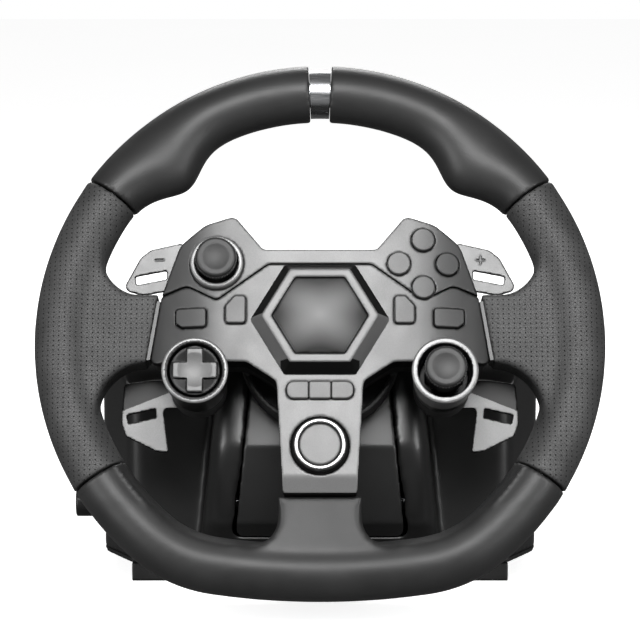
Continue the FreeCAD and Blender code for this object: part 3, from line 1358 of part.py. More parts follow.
def jaw(side):
    """Hooked jaw: rack behind the arm, rubber-faced hook under the base."""
    x = side * JAW_U
    pitch = math.pi * RACK_MODULE
    half = pitch / 4 - RACK_BACKLASH / 4
    lean = math.tan(PRESSURE) * RACK_MODULE
    tip, root = ADDENDUM * RACK_MODULE, DEDENDUM * RACK_MODULE
    low = CROSS_HEIGHT - 3 * pitch
    count = int((JAW_TRAVEL + 6 * pitch) / pitch)
    profile = [(JAW_FRONT, JAW_HOOK_HEIGHT)]
    profile.append((JAW_FRONT, low + count * pitch + pitch))
    profile.append((RACK_LINE - root, low + count * pitch + pitch))
    for i in reversed(range(count)):
        middle = low + (i + 0.5) * pitch
        profile.append((RACK_LINE - root, middle + half + lean * DEDENDUM))
        profile.append((RACK_LINE + tip, middle + half - lean * ADDENDUM))
        profile.append((RACK_LINE + tip, middle - half + lean * ADDENDUM))
        profile.append((RACK_LINE - root, middle - half - lean * DEDENDUM))
    profile.append((RACK_LINE - root, JAW_HOOK_HEIGHT))
    arm = slab([(y, z, 0) for y, z in profile], x - PINION_HALF - 1.5, x + PINION_HALF + 1.5)
    block_ = block(x - JAW_HALF, x + JAW_HALF, JAW_FRONT, RACK_LINE - root, 0, JAW_BLOCK_TOP)
    hook = block(x - JAW_HALF, x + JAW_HALF, JAW_FRONT, JAW_HOOK_BACK, 0, JAW_HOOK_HEIGHT - JAW_PAD)
    hook = fillet_near(hook, [
        (Vector(x - JAW_HALF, JAW_HOOK_BACK, 0), 5.0), (Vector(x + JAW_HALF, JAW_HOOK_BACK, 0), 5.0),
    ], Vector(0, 0, 1))
    return fuse(arm, block_, hook)


def jaw_pad(side):
    """Rubber facing on a jaw's hook."""
    x = side * JAW_U
    inset = 2.0
    return block(x - JAW_HALF + inset, x + JAW_HALF - inset, RACK_LINE + 3, JAW_HOOK_BACK - 5,
                 JAW_HOOK_HEIGHT - JAW_PAD, JAW_HOOK_HEIGHT)


def jaw_slot(side):
    """Opening in the tray for a jaw's arm."""
    x = side * JAW_U
    half = PINION_HALF + 1.5 + 0.5
    return block(x - half, x + half, JAW_FRONT - 0.5, RACK_LINE + ADDENDUM * RACK_MODULE + 0.5, 0, 30)


def jaw_guide(side, low):
    """Channel on the tray that guides a jaw's arm, with the cross shaft's bearings."""
    x = side * JAW_U
    half = PINION_HALF + 1.5
    gap = 0.3
    high = CROSS_HEIGHT + 12
    outer = block(x - half - gap - 2.4, x + half + gap + 2.4, WING_FRONT + BASE_WALL + 0.4,
                  CROSS_Y + 6.5, low, high)
    lane = block(x - half - gap, x + half + gap, JAW_FRONT - gap, CROSS_Y + 30, low - 1, high + 1)
    return cut(outer, lane, rod_x(CROSS_Y, CROSS_HEIGHT, CROSS_RADIUS + CROSS_GAP, x - 30, x + 30))


def clamp_shaft():
    """Cross shaft with the two pinions that drive the jaws."""
    pieces = [rod_x(CROSS_Y, CROSS_HEIGHT, CROSS_RADIUS, -LEVER_SEAT, JAW_U + 10)]
    for side in (-1, 1):
        left = side * JAW_U - PINION_HALF
        wire = gear_wire(RACK_TEETH, RACK_MODULE, RACK_BACKLASH / 2, math.pi,
                         lambda a, b, x=left: Vector(x, CROSS_Y + a, CROSS_HEIGHT + b))
        pieces.append(Part.Face(wire).extrude(Vector(2 * PINION_HALF, 0, 0)))
    return fuse(*pieces)


def clamp_lever():
    """Hand lever on the cross shaft's left end; it lies back along the base when closed."""
    inner = -(BASE_HALF + 1.6)
    boss = rod_x(CROSS_Y, CROSS_HEIGHT, LEVER_BOSS, -LEVER_OUT, inner)
    end = rod_x(CROSS_Y + LEVER_LENGTH, CROSS_HEIGHT, LEVER_BOSS - 1.2, -LEVER_OUT + 1, -LEVER_OUT + 9)
    bar = slab([
        (CROSS_Y, CROSS_HEIGHT - LEVER_BOSS + 0.6), (CROSS_Y, CROSS_HEIGHT + LEVER_BOSS - 0.6),
        (CROSS_Y + LEVER_LENGTH, CROSS_HEIGHT + LEVER_BOSS - 1.8),
        (CROSS_Y + LEVER_LENGTH, CROSS_HEIGHT - LEVER_BOSS + 1.8),
    ], -LEVER_OUT + 1, -LEVER_OUT + 9)
    whole = fuse(boss, end, bar)
    return whole.cut(rod_x(CROSS_Y, CROSS_HEIGHT, CROSS_RADIUS, -LEVER_SEAT, 12 - BASE_HALF))


# ---------------------------------------------------------------- the whole object
def wheel_pieces():
    """Every piece drawn in the wheel's frame, by name."""
    channel = core_channel()
    grip = side_grip(channel)
    top = top_grip(channel)
    upper, lower = faces()
    pieces = {
        "wheel_frame": wheel_frame(),
        "grip_top": Part.makeCompound([top, mirrored(top)]),
        "grip_right": grip,
        "grip_left": mirrored(grip),
        "grip_bottom": bottom_grip(channel),
        "top_marker": top_marker(channel),
        "face_upper": upper,
        "face_lower": lower,
        "hub_back_shell": hub_shell(),
        "hub_screws": hub_screws(),
        "flange_bolts": flange_bolts(),
        "side_trims": side_trims(),
        "hex_bezel": hex_bezel(),
        "hex_badge": hex_badge(),
        "home_ring": home_ring(),
        "button_home": home_button(),
        "control_board": control_board(),
        "vibration_motors": vibration_motors(),
        "paddle_pins": paddle_pins(),
        "steering_shaft": steering_shaft(),
        "shaft_bushes": shaft_bushes(),
        "drive_gear": drive_gear(),
        "encoder_pinion": encoder_pinion(),
        "encoder_board": encoder_board(),
        "centring_spring": centring_spring(),
    }
    for name, u, v, outline in button_list():
        pieces[name] = button_piece(u, v, outline)
    pieces["stick_collar_left"] = pod(COLLAR_U, COLLAR_V, COLLAR_PIVOT, BOARD_TOP, COLLAR_RADIUS,
                                      COLLAR_TOP, COLLAR_RADIUS, COLLAR_HOLE)
    pieces["gimbal_left"] = gimbal(COLLAR_U, COLLAR_V, COLLAR_PIVOT)
    pieces["stick_left"] = stick(COLLAR_U, COLLAR_V, COLLAR_PIVOT, COLLAR_CAP_BASE)
    pieces["stick_pod_right"] = pod(POD_U, POD_V, POD_PIVOT, POD_FOOT, POD_FOOT_RADIUS,
                                    POD_TOP, POD_TOP_RADIUS, POD_BORE)
    pieces["gimbal_right"] = gimbal(POD_U, POD_V, POD_PIVOT)
    pieces["stick_right"] = stick(POD_U, POD_V, POD_PIVOT, POD_CAP_BASE)
    pieces["dpad_pod"] = pod(-POD_U, POD_V, DPAD_PIVOT, POD_FOOT, POD_FOOT_RADIUS,
                             POD_TOP, POD_TOP_RADIUS, POD_BORE)
    pieces["dpad_gimbal"] = gimbal(-POD_U, POD_V, DPAD_PIVOT)
    pieces["dpad"] = dpad()
    upper_paddle = paddle(UPPER_PADDLE, UPPER_SLOT, UPPER_KNUCKLE, UPPER_PADDLE_W)
    lower_paddle = paddle(LOWER_PADDLE, LOWER_SLOT, LOWER_KNUCKLE, LOWER_PADDLE_W)
    pieces["paddle_upper_right"] = upper_paddle.cut(paddle_sign(True))
    pieces["paddle_upper_left"] = mirrored(upper_paddle.cut(paddle_sign(False)))
    pieces["paddle_lower_right"] = lower_paddle
    pieces["paddle_lower_left"] = mirrored(lower_paddle)
    return {name: wheel_to_desk(shape) for name, shape in pieces.items()}


def base_group():
    """Every piece drawn in the desk's frame, by name."""
    housing, panel, tray = base_pieces()
    return {
        "base_housing": housing,
        "base_front_panel": panel,
        "base_bottom_tray": tray,
        "chassis": chassis(),
        "rear_connectors": rear_connectors(),
        "suction_feet": suction_feet(),
        "housing_screws": housing_screws(),
        "clamp_jaw_left": Part.makeCompound([jaw(-1), jaw_pad(-1)]),
        "clamp_jaw_right": Part.makeCompound([jaw(1), jaw_pad(1)]),
        "clamp_shaft": clamp_shaft(),
        "clamp_lever": clamp_lever(),
    }


def main():
    pieces = wheel_pieces()
    pieces.update(base_group())
    box = FreeCAD.BoundBox()
    for shape in pieces.values():
        box.add(shape.optimalBoundingBox(False))
    shift = Vector(-(box.XMin + box.XMax) / 2, -(box.YMin + box.YMax) / 2, -box.ZMin)
    os.makedirs("parts", exist_ok=True)
    for name, shape in pieces.items():
        shape.translate(shift)
        shape.exportStep("parts/" + name + ".step")
        print(name, len(shape.Solids), round(shape.Volume), shape.isValid())
    print("nodes", len(pieces), "shift", shift)


main()
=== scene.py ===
# %% [markdown]
# # A desk racing wheel, dressed
#
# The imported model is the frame: it says where every piece is and which body it moves with. This
# lesson gives each piece its real surface. Some pieces keep their own mesh and only get a
# material. Others are rounded and smoothed first, because moulded plastic and foam-backed grips
# have no knife edges. Small things that repeat are made with Geometry Nodes.

# %% Load the frame
import json
import math

import bmesh
import bpy
from mathutils import Euler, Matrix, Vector


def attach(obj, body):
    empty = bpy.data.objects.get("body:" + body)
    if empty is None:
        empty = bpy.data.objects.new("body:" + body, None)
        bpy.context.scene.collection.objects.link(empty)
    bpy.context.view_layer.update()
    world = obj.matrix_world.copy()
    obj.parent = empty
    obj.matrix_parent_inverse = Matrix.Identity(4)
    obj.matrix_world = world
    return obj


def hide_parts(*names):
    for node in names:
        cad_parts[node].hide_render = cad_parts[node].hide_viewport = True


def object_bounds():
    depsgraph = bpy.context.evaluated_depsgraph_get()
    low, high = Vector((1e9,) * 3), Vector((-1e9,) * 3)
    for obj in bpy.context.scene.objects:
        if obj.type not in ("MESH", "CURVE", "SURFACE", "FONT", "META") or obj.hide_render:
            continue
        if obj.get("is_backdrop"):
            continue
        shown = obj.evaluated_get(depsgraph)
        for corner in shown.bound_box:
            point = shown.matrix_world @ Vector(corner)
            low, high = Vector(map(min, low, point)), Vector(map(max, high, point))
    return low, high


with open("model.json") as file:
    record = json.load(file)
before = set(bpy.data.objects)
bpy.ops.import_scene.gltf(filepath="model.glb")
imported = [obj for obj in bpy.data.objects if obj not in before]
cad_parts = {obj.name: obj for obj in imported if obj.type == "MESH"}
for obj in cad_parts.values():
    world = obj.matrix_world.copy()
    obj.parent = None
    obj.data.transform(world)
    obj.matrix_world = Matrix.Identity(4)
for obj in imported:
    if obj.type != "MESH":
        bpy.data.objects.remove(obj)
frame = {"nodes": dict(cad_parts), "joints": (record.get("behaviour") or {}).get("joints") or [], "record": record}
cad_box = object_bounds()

MM = 0.001
nodes = frame["nodes"]
body_of_node = {}
for body_name, members in frame["record"]["behaviour"]["bodies"].items():
    for member in members:
        body_of_node[member] = body_name

# %% [markdown]
# ## The wheel's own directions
#
# The steering wheel leans back, so "up along the wheel" is not the world's up. The steering joint
# gives the lean and the centre. One small function turns a point of the row frame into the
# wheel's directions: u to the right, v up along the wheel, w out towards the driver, in
# millimetres.

# %% Directions of the leaning wheel
steering = next(j for j in frame["joints"] if j["name"] == "steering")
CENTRE = Vector(steering["pos_m"])
OUT = Vector(steering["axis"]).normalized()
LEAN = math.asin(OUT.z)
RIGHT = Vector((1, 0, 0))
UP = RIGHT.cross(OUT) if RIGHT.cross(OUT).z > 0 else OUT.cross(RIGHT)


def wheel_place(point):
    """(u, v, w) in millimetres of a point of the row frame."""
    arm = (point - CENTRE) / MM
    return arm.dot(RIGHT), arm.dot(UP), arm.dot(OUT)


print("lean in degrees", round(math.degrees(LEAN), 2), "centre", CENTRE)

# %% [markdown]
# ## Colours and nodes
#
# Colours are written as the hex values a painter would quote. Blender works in linear light, so
# one function converts them. Another adds a shader node with its settings and its links, and
# every material below is made of calls to it.

# %% Colour and node helpers


def colour(code):
    """Linear RGBA of an sRGB hex colour."""
    parts = [int(code[i:i + 2], 16) / 255 for i in (1, 3, 5)]
    linear = [p / 12.92 if p <= 0.04045 else ((p + 0.055) / 1.055) ** 2.4 for p in parts]
    return (*linear, 1.0)


def add(tree, kind, settings=None, **links):
    """Adds a node; settings are its properties, links its inputs by name, as sockets or values."""
    node = tree.nodes.new(kind)
    for key, value in (settings or {}).items():
        setattr(node, key, value)
    for key, value in links.items():
        name = key.replace("_", " ")
        index = int(name[2:]) if name.startswith("in") and name[2:].isdigit() else None
        socket = node.inputs[index] if index is not None else node.inputs[name]
        if isinstance(value, bpy.types.NodeSocket):
            tree.links.new(value, socket)
        else:
            socket.default_value = value
    return node


def new_material(name):
    """An empty material with its shader and output: (material, tree, shader)."""
    material = bpy.data.materials.new(name)
    material.use_nodes = True
    tree = material.node_tree
    tree.nodes.clear()
    shader = add(tree, "ShaderNodeBsdfPrincipled")
    output = add(tree, "ShaderNodeOutputMaterial")
    tree.links.new(shader.outputs["BSDF"], output.inputs["Surface"])
    return material, tree, shader


def place_in(tree, wheel=False):
    """Object coordinates; with wheel, turned so that X, Y, Z are u, -w, v from the wheel's centre."""
    coords = add(tree, "ShaderNodeTexCoord").outputs["Object"]
    if not wheel:
        return coords
    turn = Euler((LEAN, 0, 0)).to_matrix()
    shift = -(turn @ CENTRE)
    mapping = add(tree, "ShaderNodeMapping", Vector=coords)
    mapping.inputs["Rotation"].default_value = (LEAN, 0, 0)
    mapping.inputs["Location"].default_value = shift
    return mapping.outputs["Vector"]


def noise(tree, coords, size_mm, detail=3.0, rough=0.55):
    """Noise whose lumps are about size_mm across."""
    node = add(tree, "ShaderNodeTexNoise", Vector=coords, Scale=1000.0 / size_mm, Detail=detail,
               Roughness=rough)
    return node.outputs["Fac"]


def ramp(tree, value, low, high, first, second):
    """value from low..high turned into a blend from colour first to colour second."""
    node = add(tree, "ShaderNodeValToRGB", Fac=value)
    node.color_ramp.elements[0].position = low
    node.color_ramp.elements[0].color = first
    node.color_ramp.elements[1].position = high
    node.color_ramp.elements[1].color = second
    return node.outputs["Color"]


def spread(tree, value, low, high):
    """value, 0 to 1, stretched to run from low to high."""
    return add(tree, "ShaderNodeMapRange", in0=value, in3=low, in4=high).outputs["Result"]


def bump(tree, height, depth_mm, normal=None):
    """A bump whose full height is depth_mm."""
    node = add(tree, "ShaderNodeBump", Height=height, Distance=depth_mm * MM, Strength=1.0)
    if normal is not None:
        tree.links.new(normal, node.inputs["Normal"])
    return node.outputs["Normal"]


print("helpers ready")

# %% [markdown]
# ## Soft-touch polyurethane of the plain grips
#
# The top and bottom of the rim are self-skinning polyurethane foam. Its skin is moulded against a
# fine blasted tool, so it is nearly black with a soft, wide highlight and a grain of about half a
# millimetre. Hands polish it unevenly, which slow noise in the roughness shows.

# %% Polyurethane skin
skin, tree, shader = new_material("self_skinning_polyurethane")
coords = place_in(tree)
tone = ramp(tree, noise(tree, coords, 28.0), 0.3, 0.75, colour("#1d1d1d"), colour("#272727"))
tree.links.new(tone, shader.inputs["Base Color"])
tree.links.new(spread(tree, noise(tree, coords, 22.0), 0.40, 0.54), shader.inputs["Roughness"])
grain = noise(tree, coords, 0.55, 2.0)
tree.links.new(bump(tree, grain, 0.035), shader.inputs["Normal"])
shader.inputs["Specular IOR Level"].default_value = 0.38
print(skin.name)

# %% [markdown]
# ## Leatherette of the side grips
#
# The hands hold a bonded leatherette: a vinyl film embossed with a hide pattern. Cells of about a
# millimetre give the hide its creases, which are bumped and also painted darker as painted shade,
# and the film's sheen is a little duller than the plain skin. The rows of fine holes are real pieces,
# made further down.

# %% Leatherette
hide, tree, shader = new_material("embossed_leatherette")
coords = place_in(tree)
tone = ramp(tree, noise(tree, coords, 18.0), 0.3, 0.8, colour("#303030"), colour("#3e3e3e"))
cells = add(tree, "ShaderNodeTexVoronoi", {"feature": "DISTANCE_TO_EDGE"}, Vector=coords,
            Scale=1000.0 / 1.3)
crease_depth_and_shade = add(tree, "ShaderNodeMapRange", in0=cells.outputs["Distance"], in1=0.0, in2=0.12, in3=0.0,
              in4=1.0).outputs["Result"]
# Painted shade: the colour is multiplied darker along the crease lines of the hide.
dark = add(tree, "ShaderNodeMix", {"data_type": "RGBA", "blend_type": "MULTIPLY"})
dark.inputs["Factor"].default_value = 0.35
tree.links.new(tone, dark.inputs[6])
tree.links.new(crease_depth_and_shade, dark.inputs[7])
tree.links.new(dark.outputs[2], shader.inputs["Base Color"])
tree.links.new(spread(tree, noise(tree, coords, 12.0), 0.44, 0.6), shader.inputs["Roughness"])
tree.links.new(bump(tree, crease_depth_and_shade, 0.05), shader.inputs["Normal"])
shader.inputs["Specular IOR Level"].default_value = 0.35
print(hide.name)

# %% [markdown]
# ## Paint of the face
#
# The face is ABS sprayed with a satin metallic paint: a grey with tiny aluminium flakes. Flakes
# lie flat, so the paint looks lighter where the surface faces the lights. On top of that the colour
# is painted lighter in the middle and darker on the outer lobes, as painted light and shade. Each
# flake is far smaller than can be seen, so the noise that stands for them is drawn at 0.35 mm.

# %% Satin metallic paint


def metallic_paint(name, middle, shaded_lobes, metallic, rough):
    """Satin metallic paint whose colour is painted darker from the wheel's middle to its sides: painted shade."""
    material, tree, shader = new_material(name)
    local = place_in(tree, wheel=True)
    parts = add(tree, "ShaderNodeSeparateXYZ", Vector=local)
    # Painted light and shade: the distance from the wheel's middle blends the colour from the lit middle to the
    # shaded lobes.
    out = add(tree, "ShaderNodeMath", {"operation": "ABSOLUTE"}, in0=parts.outputs["X"])
    side = add(tree, "ShaderNodeMapRange", in0=out.outputs[0], in1=0.022, in2=0.074, in3=0.0, in4=1.0)
    wander = noise(tree, local, 30.0)
    tone_and_painted_shade = add(tree, "ShaderNodeMath", {"operation": "MULTIPLY_ADD"}, in0=wander, in1=0.16,
                in2=side.outputs["Result"])
    base = ramp(tree, tone_and_painted_shade.outputs[0], 0.06, 1.05, middle, shaded_lobes)
    flakes = noise(tree, local, 0.35, 1.0)
    light = add(tree, "ShaderNodeMix", {"data_type": "RGBA", "blend_type": "OVERLAY"})
    light.inputs["Factor"].default_value = 0.25
    tree.links.new(base, light.inputs[6])
    tree.links.new(flakes, light.inputs[7])
    tree.links.new(light.outputs[2], shader.inputs["Base Color"])
    shader.inputs["Metallic"].default_value = metallic
    tree.links.new(spread(tree, noise(tree, local, 9.0), rough - 0.04, rough + 0.06),
                   shader.inputs["Roughness"])
    tree.links.new(bump(tree, flakes, 0.006), shader.inputs["Normal"])
    return material


# Painted light and shade: each paint is lighter in the middle and darker towards the sides, strongly on the face
# and buttons, a little on the others.
face_paint = metallic_paint("satin_metallic_paint", colour("#646464"), colour("#191919"), 0.2, 0.42)
bezel_paint = metallic_paint("pale_satin_paint", colour("#5e5e5e"), colour("#525252"), 0.2, 0.42)
pod_paint = metallic_paint("silver_grey_paint", colour("#747474"), colour("#606060"), 0.35, 0.34)
cap_paint = metallic_paint("cap_grey_paint", colour("#5c5c5c"), colour("#4e4e4e"), 0.2, 0.42)
button_paint = metallic_paint("button_grey_paint", colour("#5a5a5a"), colour("#202020"), 0.1, 0.45)
print(face_paint.name, bezel_paint.name, pod_paint.name)

# %% [markdown]
# ## Moulded plastics
#
# ABS and nylon parts share one recipe: a near-black base, a spark-eroded tool grain, and slow
# changes of gloss where the plastic cooled at different speeds. The size of the grain and the
# gloss tell the parts apart: the base is satin, the jaws are dull nylon, and the paddles' carriers
# are polished.

# %% Moulded plastic recipe


def moulded(name, light, dark, rough, grain_mm, depth_mm, shine=0.5):
    """Injection-moulded plastic with a spark-eroded grain."""
    material, tree, shader = new_material(name)
    coords = place_in(tree)
    tone = ramp(tree, noise(tree, coords, 35.0), 0.3, 0.75, dark, light)
    tree.links.new(tone, shader.inputs["Base Color"])
    tree.links.new(spread(tree, noise(tree, coords, 26.0), rough - 0.05, rough + 0.07),
                   shader.inputs["Roughness"])
    tree.links.new(bump(tree, noise(tree, coords, grain_mm, 2.0), depth_mm), shader.inputs["Normal"])
    shader.inputs["Specular IOR Level"].default_value = shine
    return material


base_abs = moulded("satin_moulded_abs", colour("#1a1a1a"), colour("#131313"), 0.34, 0.6, 0.015)
panel_abs = moulded("grained_moulded_abs", colour("#171717"), colour("#111111"), 0.42, 0.8, 0.02)
shell_abs = moulded("dull_moulded_abs", colour("#151515"), colour("#0f0f0f"), 0.55, 0.7, 0.03)
jaw_nylon = moulded("glass_filled_nylon", colour("#161616"), colour("#0f0f0f"), 0.6, 0.5, 0.03)
carrier_abs = moulded("polished_black_abs", colour("#101010"), colour("#0a0a0a"), 0.34, 1.6, 0.008,
                      0.14)
# Near-black ABS; on the face's edges, in the centre well and on the bezel's lower flank it stands in as painted
# shade.
black_abs_and_painted_shade = moulded("recess_black", colour("#080808"), colour("#040404"), 0.6, 0.6, 0.02, 0.12)
# Painted shade: the dark plugs stand for the shade inside the perforations.
hole_shade_plastic = moulded("painted_hole_shade", colour("#161616"), colour("#0e0e0e"), 0.7, 0.5, 0.01,
                        0.2)
nylon = moulded("natural_nylon", colour("#cfccc0"), colour("#bdb9aa"), 0.5, 0.8, 0.02)
print("plastics", len(bpy.data.materials))

# %% [markdown]
# ## Thumb rubber, badge, metals and board
#
# The thumb sticks are silicone rubber, the duskiest surface here. The badge is a smoked acrylic
# dome; a star-shaped painted highlight, palest in the middle and reaching furthest towards its
# corners, stands for the reflection of the lights on the dome. The metals are brushed aluminium,
# turned and phosphated steel, bronze, and plated bands and rings.
# Brushing shows as noise stretched along the brush's path.

# %% Rubber, acrylic and metals
thumb_rubber = moulded("silicone_rubber", colour("#1e1e1e"), colour("#141414"), 0.5, 0.45, 0.03)
foot_rubber = moulded("foot_rubber", colour("#1c1c1c"), colour("#131313"), 0.75, 0.9, 0.05)

badge_acrylic, tree, shader = new_material("black_acrylic_dome")
local = place_in(tree, wheel=True)
haze = noise(tree, local, 14.0)
parts = add(tree, "ShaderNodeSeparateXYZ", Vector=local)


def badge_maths(operation, first, second=0.0):
    """One arithmetic node of the badge's pattern."""
    return add(tree, "ShaderNodeMath", {"operation": operation}, in0=first, in1=second).outputs[0]


x = badge_maths("DIVIDE", parts.outputs["X"], 0.026)
y = badge_maths("DIVIDE", badge_maths("SUBTRACT", parts.outputs["Z"], 0.006), 0.021)
square = badge_maths("ADD", badge_maths("MULTIPLY", x, x), badge_maths("MULTIPLY", y, y))
product = badge_maths("MULTIPLY", x, y)
corner = badge_maths("DIVIDE", badge_maths("MULTIPLY", product, product),
                     badge_maths("ADD", badge_maths("MULTIPLY", square, square), 0.01))
reach = badge_maths("MULTIPLY", badge_maths("SQRT", square),
                    badge_maths("SUBTRACT", 1.25, badge_maths("MULTIPLY", corner, 2.2)))
# Painted highlight: a four-pointed star of lighter colour stands for the reflection of the lights on the dome.
painted_highlight_star = ramp(tree, reach, 0.05, 0.95, colour("#5a5a5a"), colour("#141414"))
tree.links.new(painted_highlight_star, shader.inputs["Base Color"])
tree.links.new(spread(tree, haze, 0.3, 0.38), shader.inputs["Roughness"])
tree.links.new(bump(tree, noise(tree, local, 0.5, 1.0), 0.006), shader.inputs["Normal"])
shader.inputs["Specular IOR Level"].default_value = 0.2


def brushed(name, light, dark, rough, stretch):
    """Bare metal brushed along the direction in which stretch is small."""
    material, tree, shader = new_material(name)
    local = place_in(tree, wheel=True)
    longer = add(tree, "ShaderNodeMapping", Vector=local)
    longer.inputs["Scale"].default_value = stretch
    lines = noise(tree, longer.outputs["Vector"], 0.5, 2.0)
    tree.links.new(ramp(tree, lines, 0.25, 0.8, dark, light), shader.inputs["Base Color"])
    shader.inputs["Metallic"].default_value = 1.0
    tree.links.new(spread(tree, lines, rough - 0.05, rough + 0.08), shader.inputs["Roughness"])
    tree.links.new(bump(tree, lines, 0.008), shader.inputs["Normal"])
    return material


ring_metal = brushed("bright_turned_ring", colour("#a0a0a0"), colour("#858585"), 0.3, (1.0, 1.0, 0.1))
trim_metal = brushed("satin_trim", colour("#4c4c4c"), colour("#3a3a3a"), 0.42, (1.0, 1.0, 0.06))
band_chrome = brushed("brushed_chrome_band", colour("#dcdddf"), colour("#a9abad"), 0.24,
                      (0.05, 1.0, 1.0))
silver = brushed("brushed_aluminium", colour("#c2c4c6"), colour("#9fa1a3"), 0.34, (0.08, 1.0, 1.0))
steel = brushed("turned_steel", colour("#a2a3a5"), colour("#7e8082"), 0.35, (1.0, 0.1, 1.0))
dark_steel = brushed("phosphated_steel", colour("#3a3b3c"), colour("#28292a"), 0.5, (1.0, 1.0, 1.0))
brass = brushed("sintered_bronze", colour("#b08a4a"), colour("#8c6a34"), 0.4, (1.0, 1.0, 1.0))

board, tree, shader = new_material("solder_masked_board")
coords = place_in(tree)
tracks = add(tree, "ShaderNodeTexBrick", Vector=coords, Scale=120.0)
tracks.inputs["Color1"].default_value = colour("#1d4a2c")
tracks.inputs["Color2"].default_value = colour("#1a4227")
tracks.inputs["Mortar"].default_value = colour("#2c6a40")
tracks.inputs["Mortar Size"].default_value = 0.03
tree.links.new(tracks.outputs["Color"], shader.inputs["Base Color"])
tree.links.new(spread(tree, noise(tree, coords, 3.0), 0.3, 0.42), shader.inputs["Roughness"])
print("materials", len(bpy.data.materials))

# %% [markdown]
# ## Carried-over pieces
#
# Many CAD pieces already have the right shape: bolts, gears, boards, buttons. They stay, and only
# their material slot changes. The list below is read as "these pieces are made of this".

# %% Materials for the pieces that stay
finish_of_node = {
    "wheel_frame": silver, "steering_shaft": steel, "shaft_bushes": brass, "drive_gear": nylon,
    "encoder_pinion": nylon, "encoder_board": board, "control_board": board,
    "vibration_motors": steel, "paddle_pins": steel, "centring_spring": steel,
    "chassis": dark_steel, "clamp_shaft": steel, "rear_connectors": black_abs_and_painted_shade,
    "suction_feet": foot_rubber, "gimbal_left": nylon, "gimbal_right": nylon, "dpad_gimbal": nylon,
    "home_ring": ring_metal, "top_marker": band_chrome, "side_trims": trim_metal,
    "flange_bolts": steel,
    "button_home": cap_paint,
}
for name in nodes:
    if name.startswith("button_") and name != "button_home":
        finish_of_node[name] = button_paint
for name, material in finish_of_node.items():
    mesh = nodes[name].data
    mesh.materials.clear()
    mesh.materials.append(material)
    for polygon in mesh.polygons:
        polygon.material_index = 0
print("kept pieces", len(finish_of_node))

# %% [markdown]
# ## Rounding a piece
#
# A CAD solid has sharp edges and a sharp line where two shapes meet. On a moulded part both are
# rounded. A Voxel remesh wraps the solid in an even grid, and a few rounds of Smooth then melt
# edges by about a voxel. More rounds melt more: that is how the spokes flow into the rim. A weight
# group keeps chosen places, such as seams, crisp. Bevel could do the outer edges, but not the
# blend between spoke and rim, so one way is used for all.

# %% Rounded copy of a CAD node


def baked(work):
    """The object's mesh with its modifiers applied."""
    bpy.context.view_layer.update()
    evaluated = work.evaluated_get(bpy.context.evaluated_depsgraph_get())
    mesh = bpy.data.meshes.new_from_object(evaluated)
    work.modifiers.clear()
    old = work.data
    work.data = mesh
    bpy.data.meshes.remove(old)
    return work


def merged_copy(name, source):
    """A new object with the source's mesh, its loose triangles joined."""
    mesh = bpy.data.meshes.new(name)
    shape = bmesh.new()
    shape.from_mesh(source.data)
    bmesh.ops.remove_doubles(shape, verts=shape.verts, dist=1e-6)
    shape.to_mesh(mesh)
    shape.free()
    work = bpy.data.objects.new(name, mesh)
    bpy.context.scene.collection.objects.link(work)
    return work


def rounded(name, source_name, voxel_mm, rounds, material, melt=None, melt_rounds=0, keep=1.0):
    """Remeshes and smooths a CAD node; melt(u, v, w) gives where extra smoothing acts."""
    source = nodes[source_name]
    work = merged_copy(name, source)
    remesh = work.modifiers.new("remesh", "REMESH")
    remesh.mode = "VOXEL"
    remesh.voxel_size = voxel_mm * MM
    remesh.use_smooth_shade = True
    baked(work)
    if melt:
        group = work.vertex_groups.new(name="melt")
        for vertex in work.data.vertices:
            weight = melt(*wheel_place(vertex.co))
            if weight > 0:
                group.add([vertex.index], weight, "REPLACE")
        extra = work.modifiers.new("melt", "SMOOTH")
        extra.factor = 0.5
        extra.iterations = melt_rounds
        extra.vertex_group = "melt"
    soften = work.modifiers.new("soften", "SMOOTH")
    soften.factor = 0.5
    soften.iterations = rounds
    if keep < 1.0:
        thin = work.modifiers.new("thin", "DECIMATE")
        thin.ratio = keep
    baked(work)
    for polygon in work.data.polygons:
        polygon.use_smooth = True
    work.data.materials.clear()
    work.data.materials.append(material)
    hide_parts(source_name)
    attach(work, body_of_node[source_name])
    print(name, "faces", len(work.data.polygons))
    return work


# %% [markdown]
# ## Grips
#
# Each grip is foam moulded on the metal ring. At its ends the skins meet in a thin groove, so the
# melt fades out there. Between the spoke and the rim it is strong, which gives the wide hollow
# that the thumb lies in.

# %% Grips
SEAM_UP = 35.0
SEAM_DOWN = -32.0


def fade(distance, start, end):
    """0 below start, 1 above end, smooth between."""
    t = max(0.0, min(1.0, (distance - start) / (end - start)))
    return t * t * (3 - 2 * t)


def side_melt(u, v, w):
    """Strong between the spoke and the rim, nothing at the seams and at the hub."""
    radius = math.hypot(u, v)
    angle = math.degrees(math.atan2(v, abs(u)))
    seam = min(abs(angle - SEAM_UP), abs(angle - SEAM_DOWN)) * math.radians(radius)
    return fade(seam, 0.8, 7.0) * fade(abs(u), 85.0, 94.0)


def bottom_melt(u, v, w):
    radius = math.hypot(u, v)
    angle = math.degrees(math.atan2(v, abs(u)))
    return fade(abs(angle - SEAM_DOWN) * math.radians(radius), 0.8, 7.0) * fade(-v, 79.5, 86.0)


grips = []
for side in ("left", "right"):
    grips.append(rounded("leather_grip_" + side, "grip_" + side, 1.1, 2, hide, side_melt, 45))
rounded("bottom_grip_skin", "grip_bottom", 1.1, 2, skin, bottom_melt, 45)
rounded("top_grip_skin", "grip_top", 1.0, 3, skin)

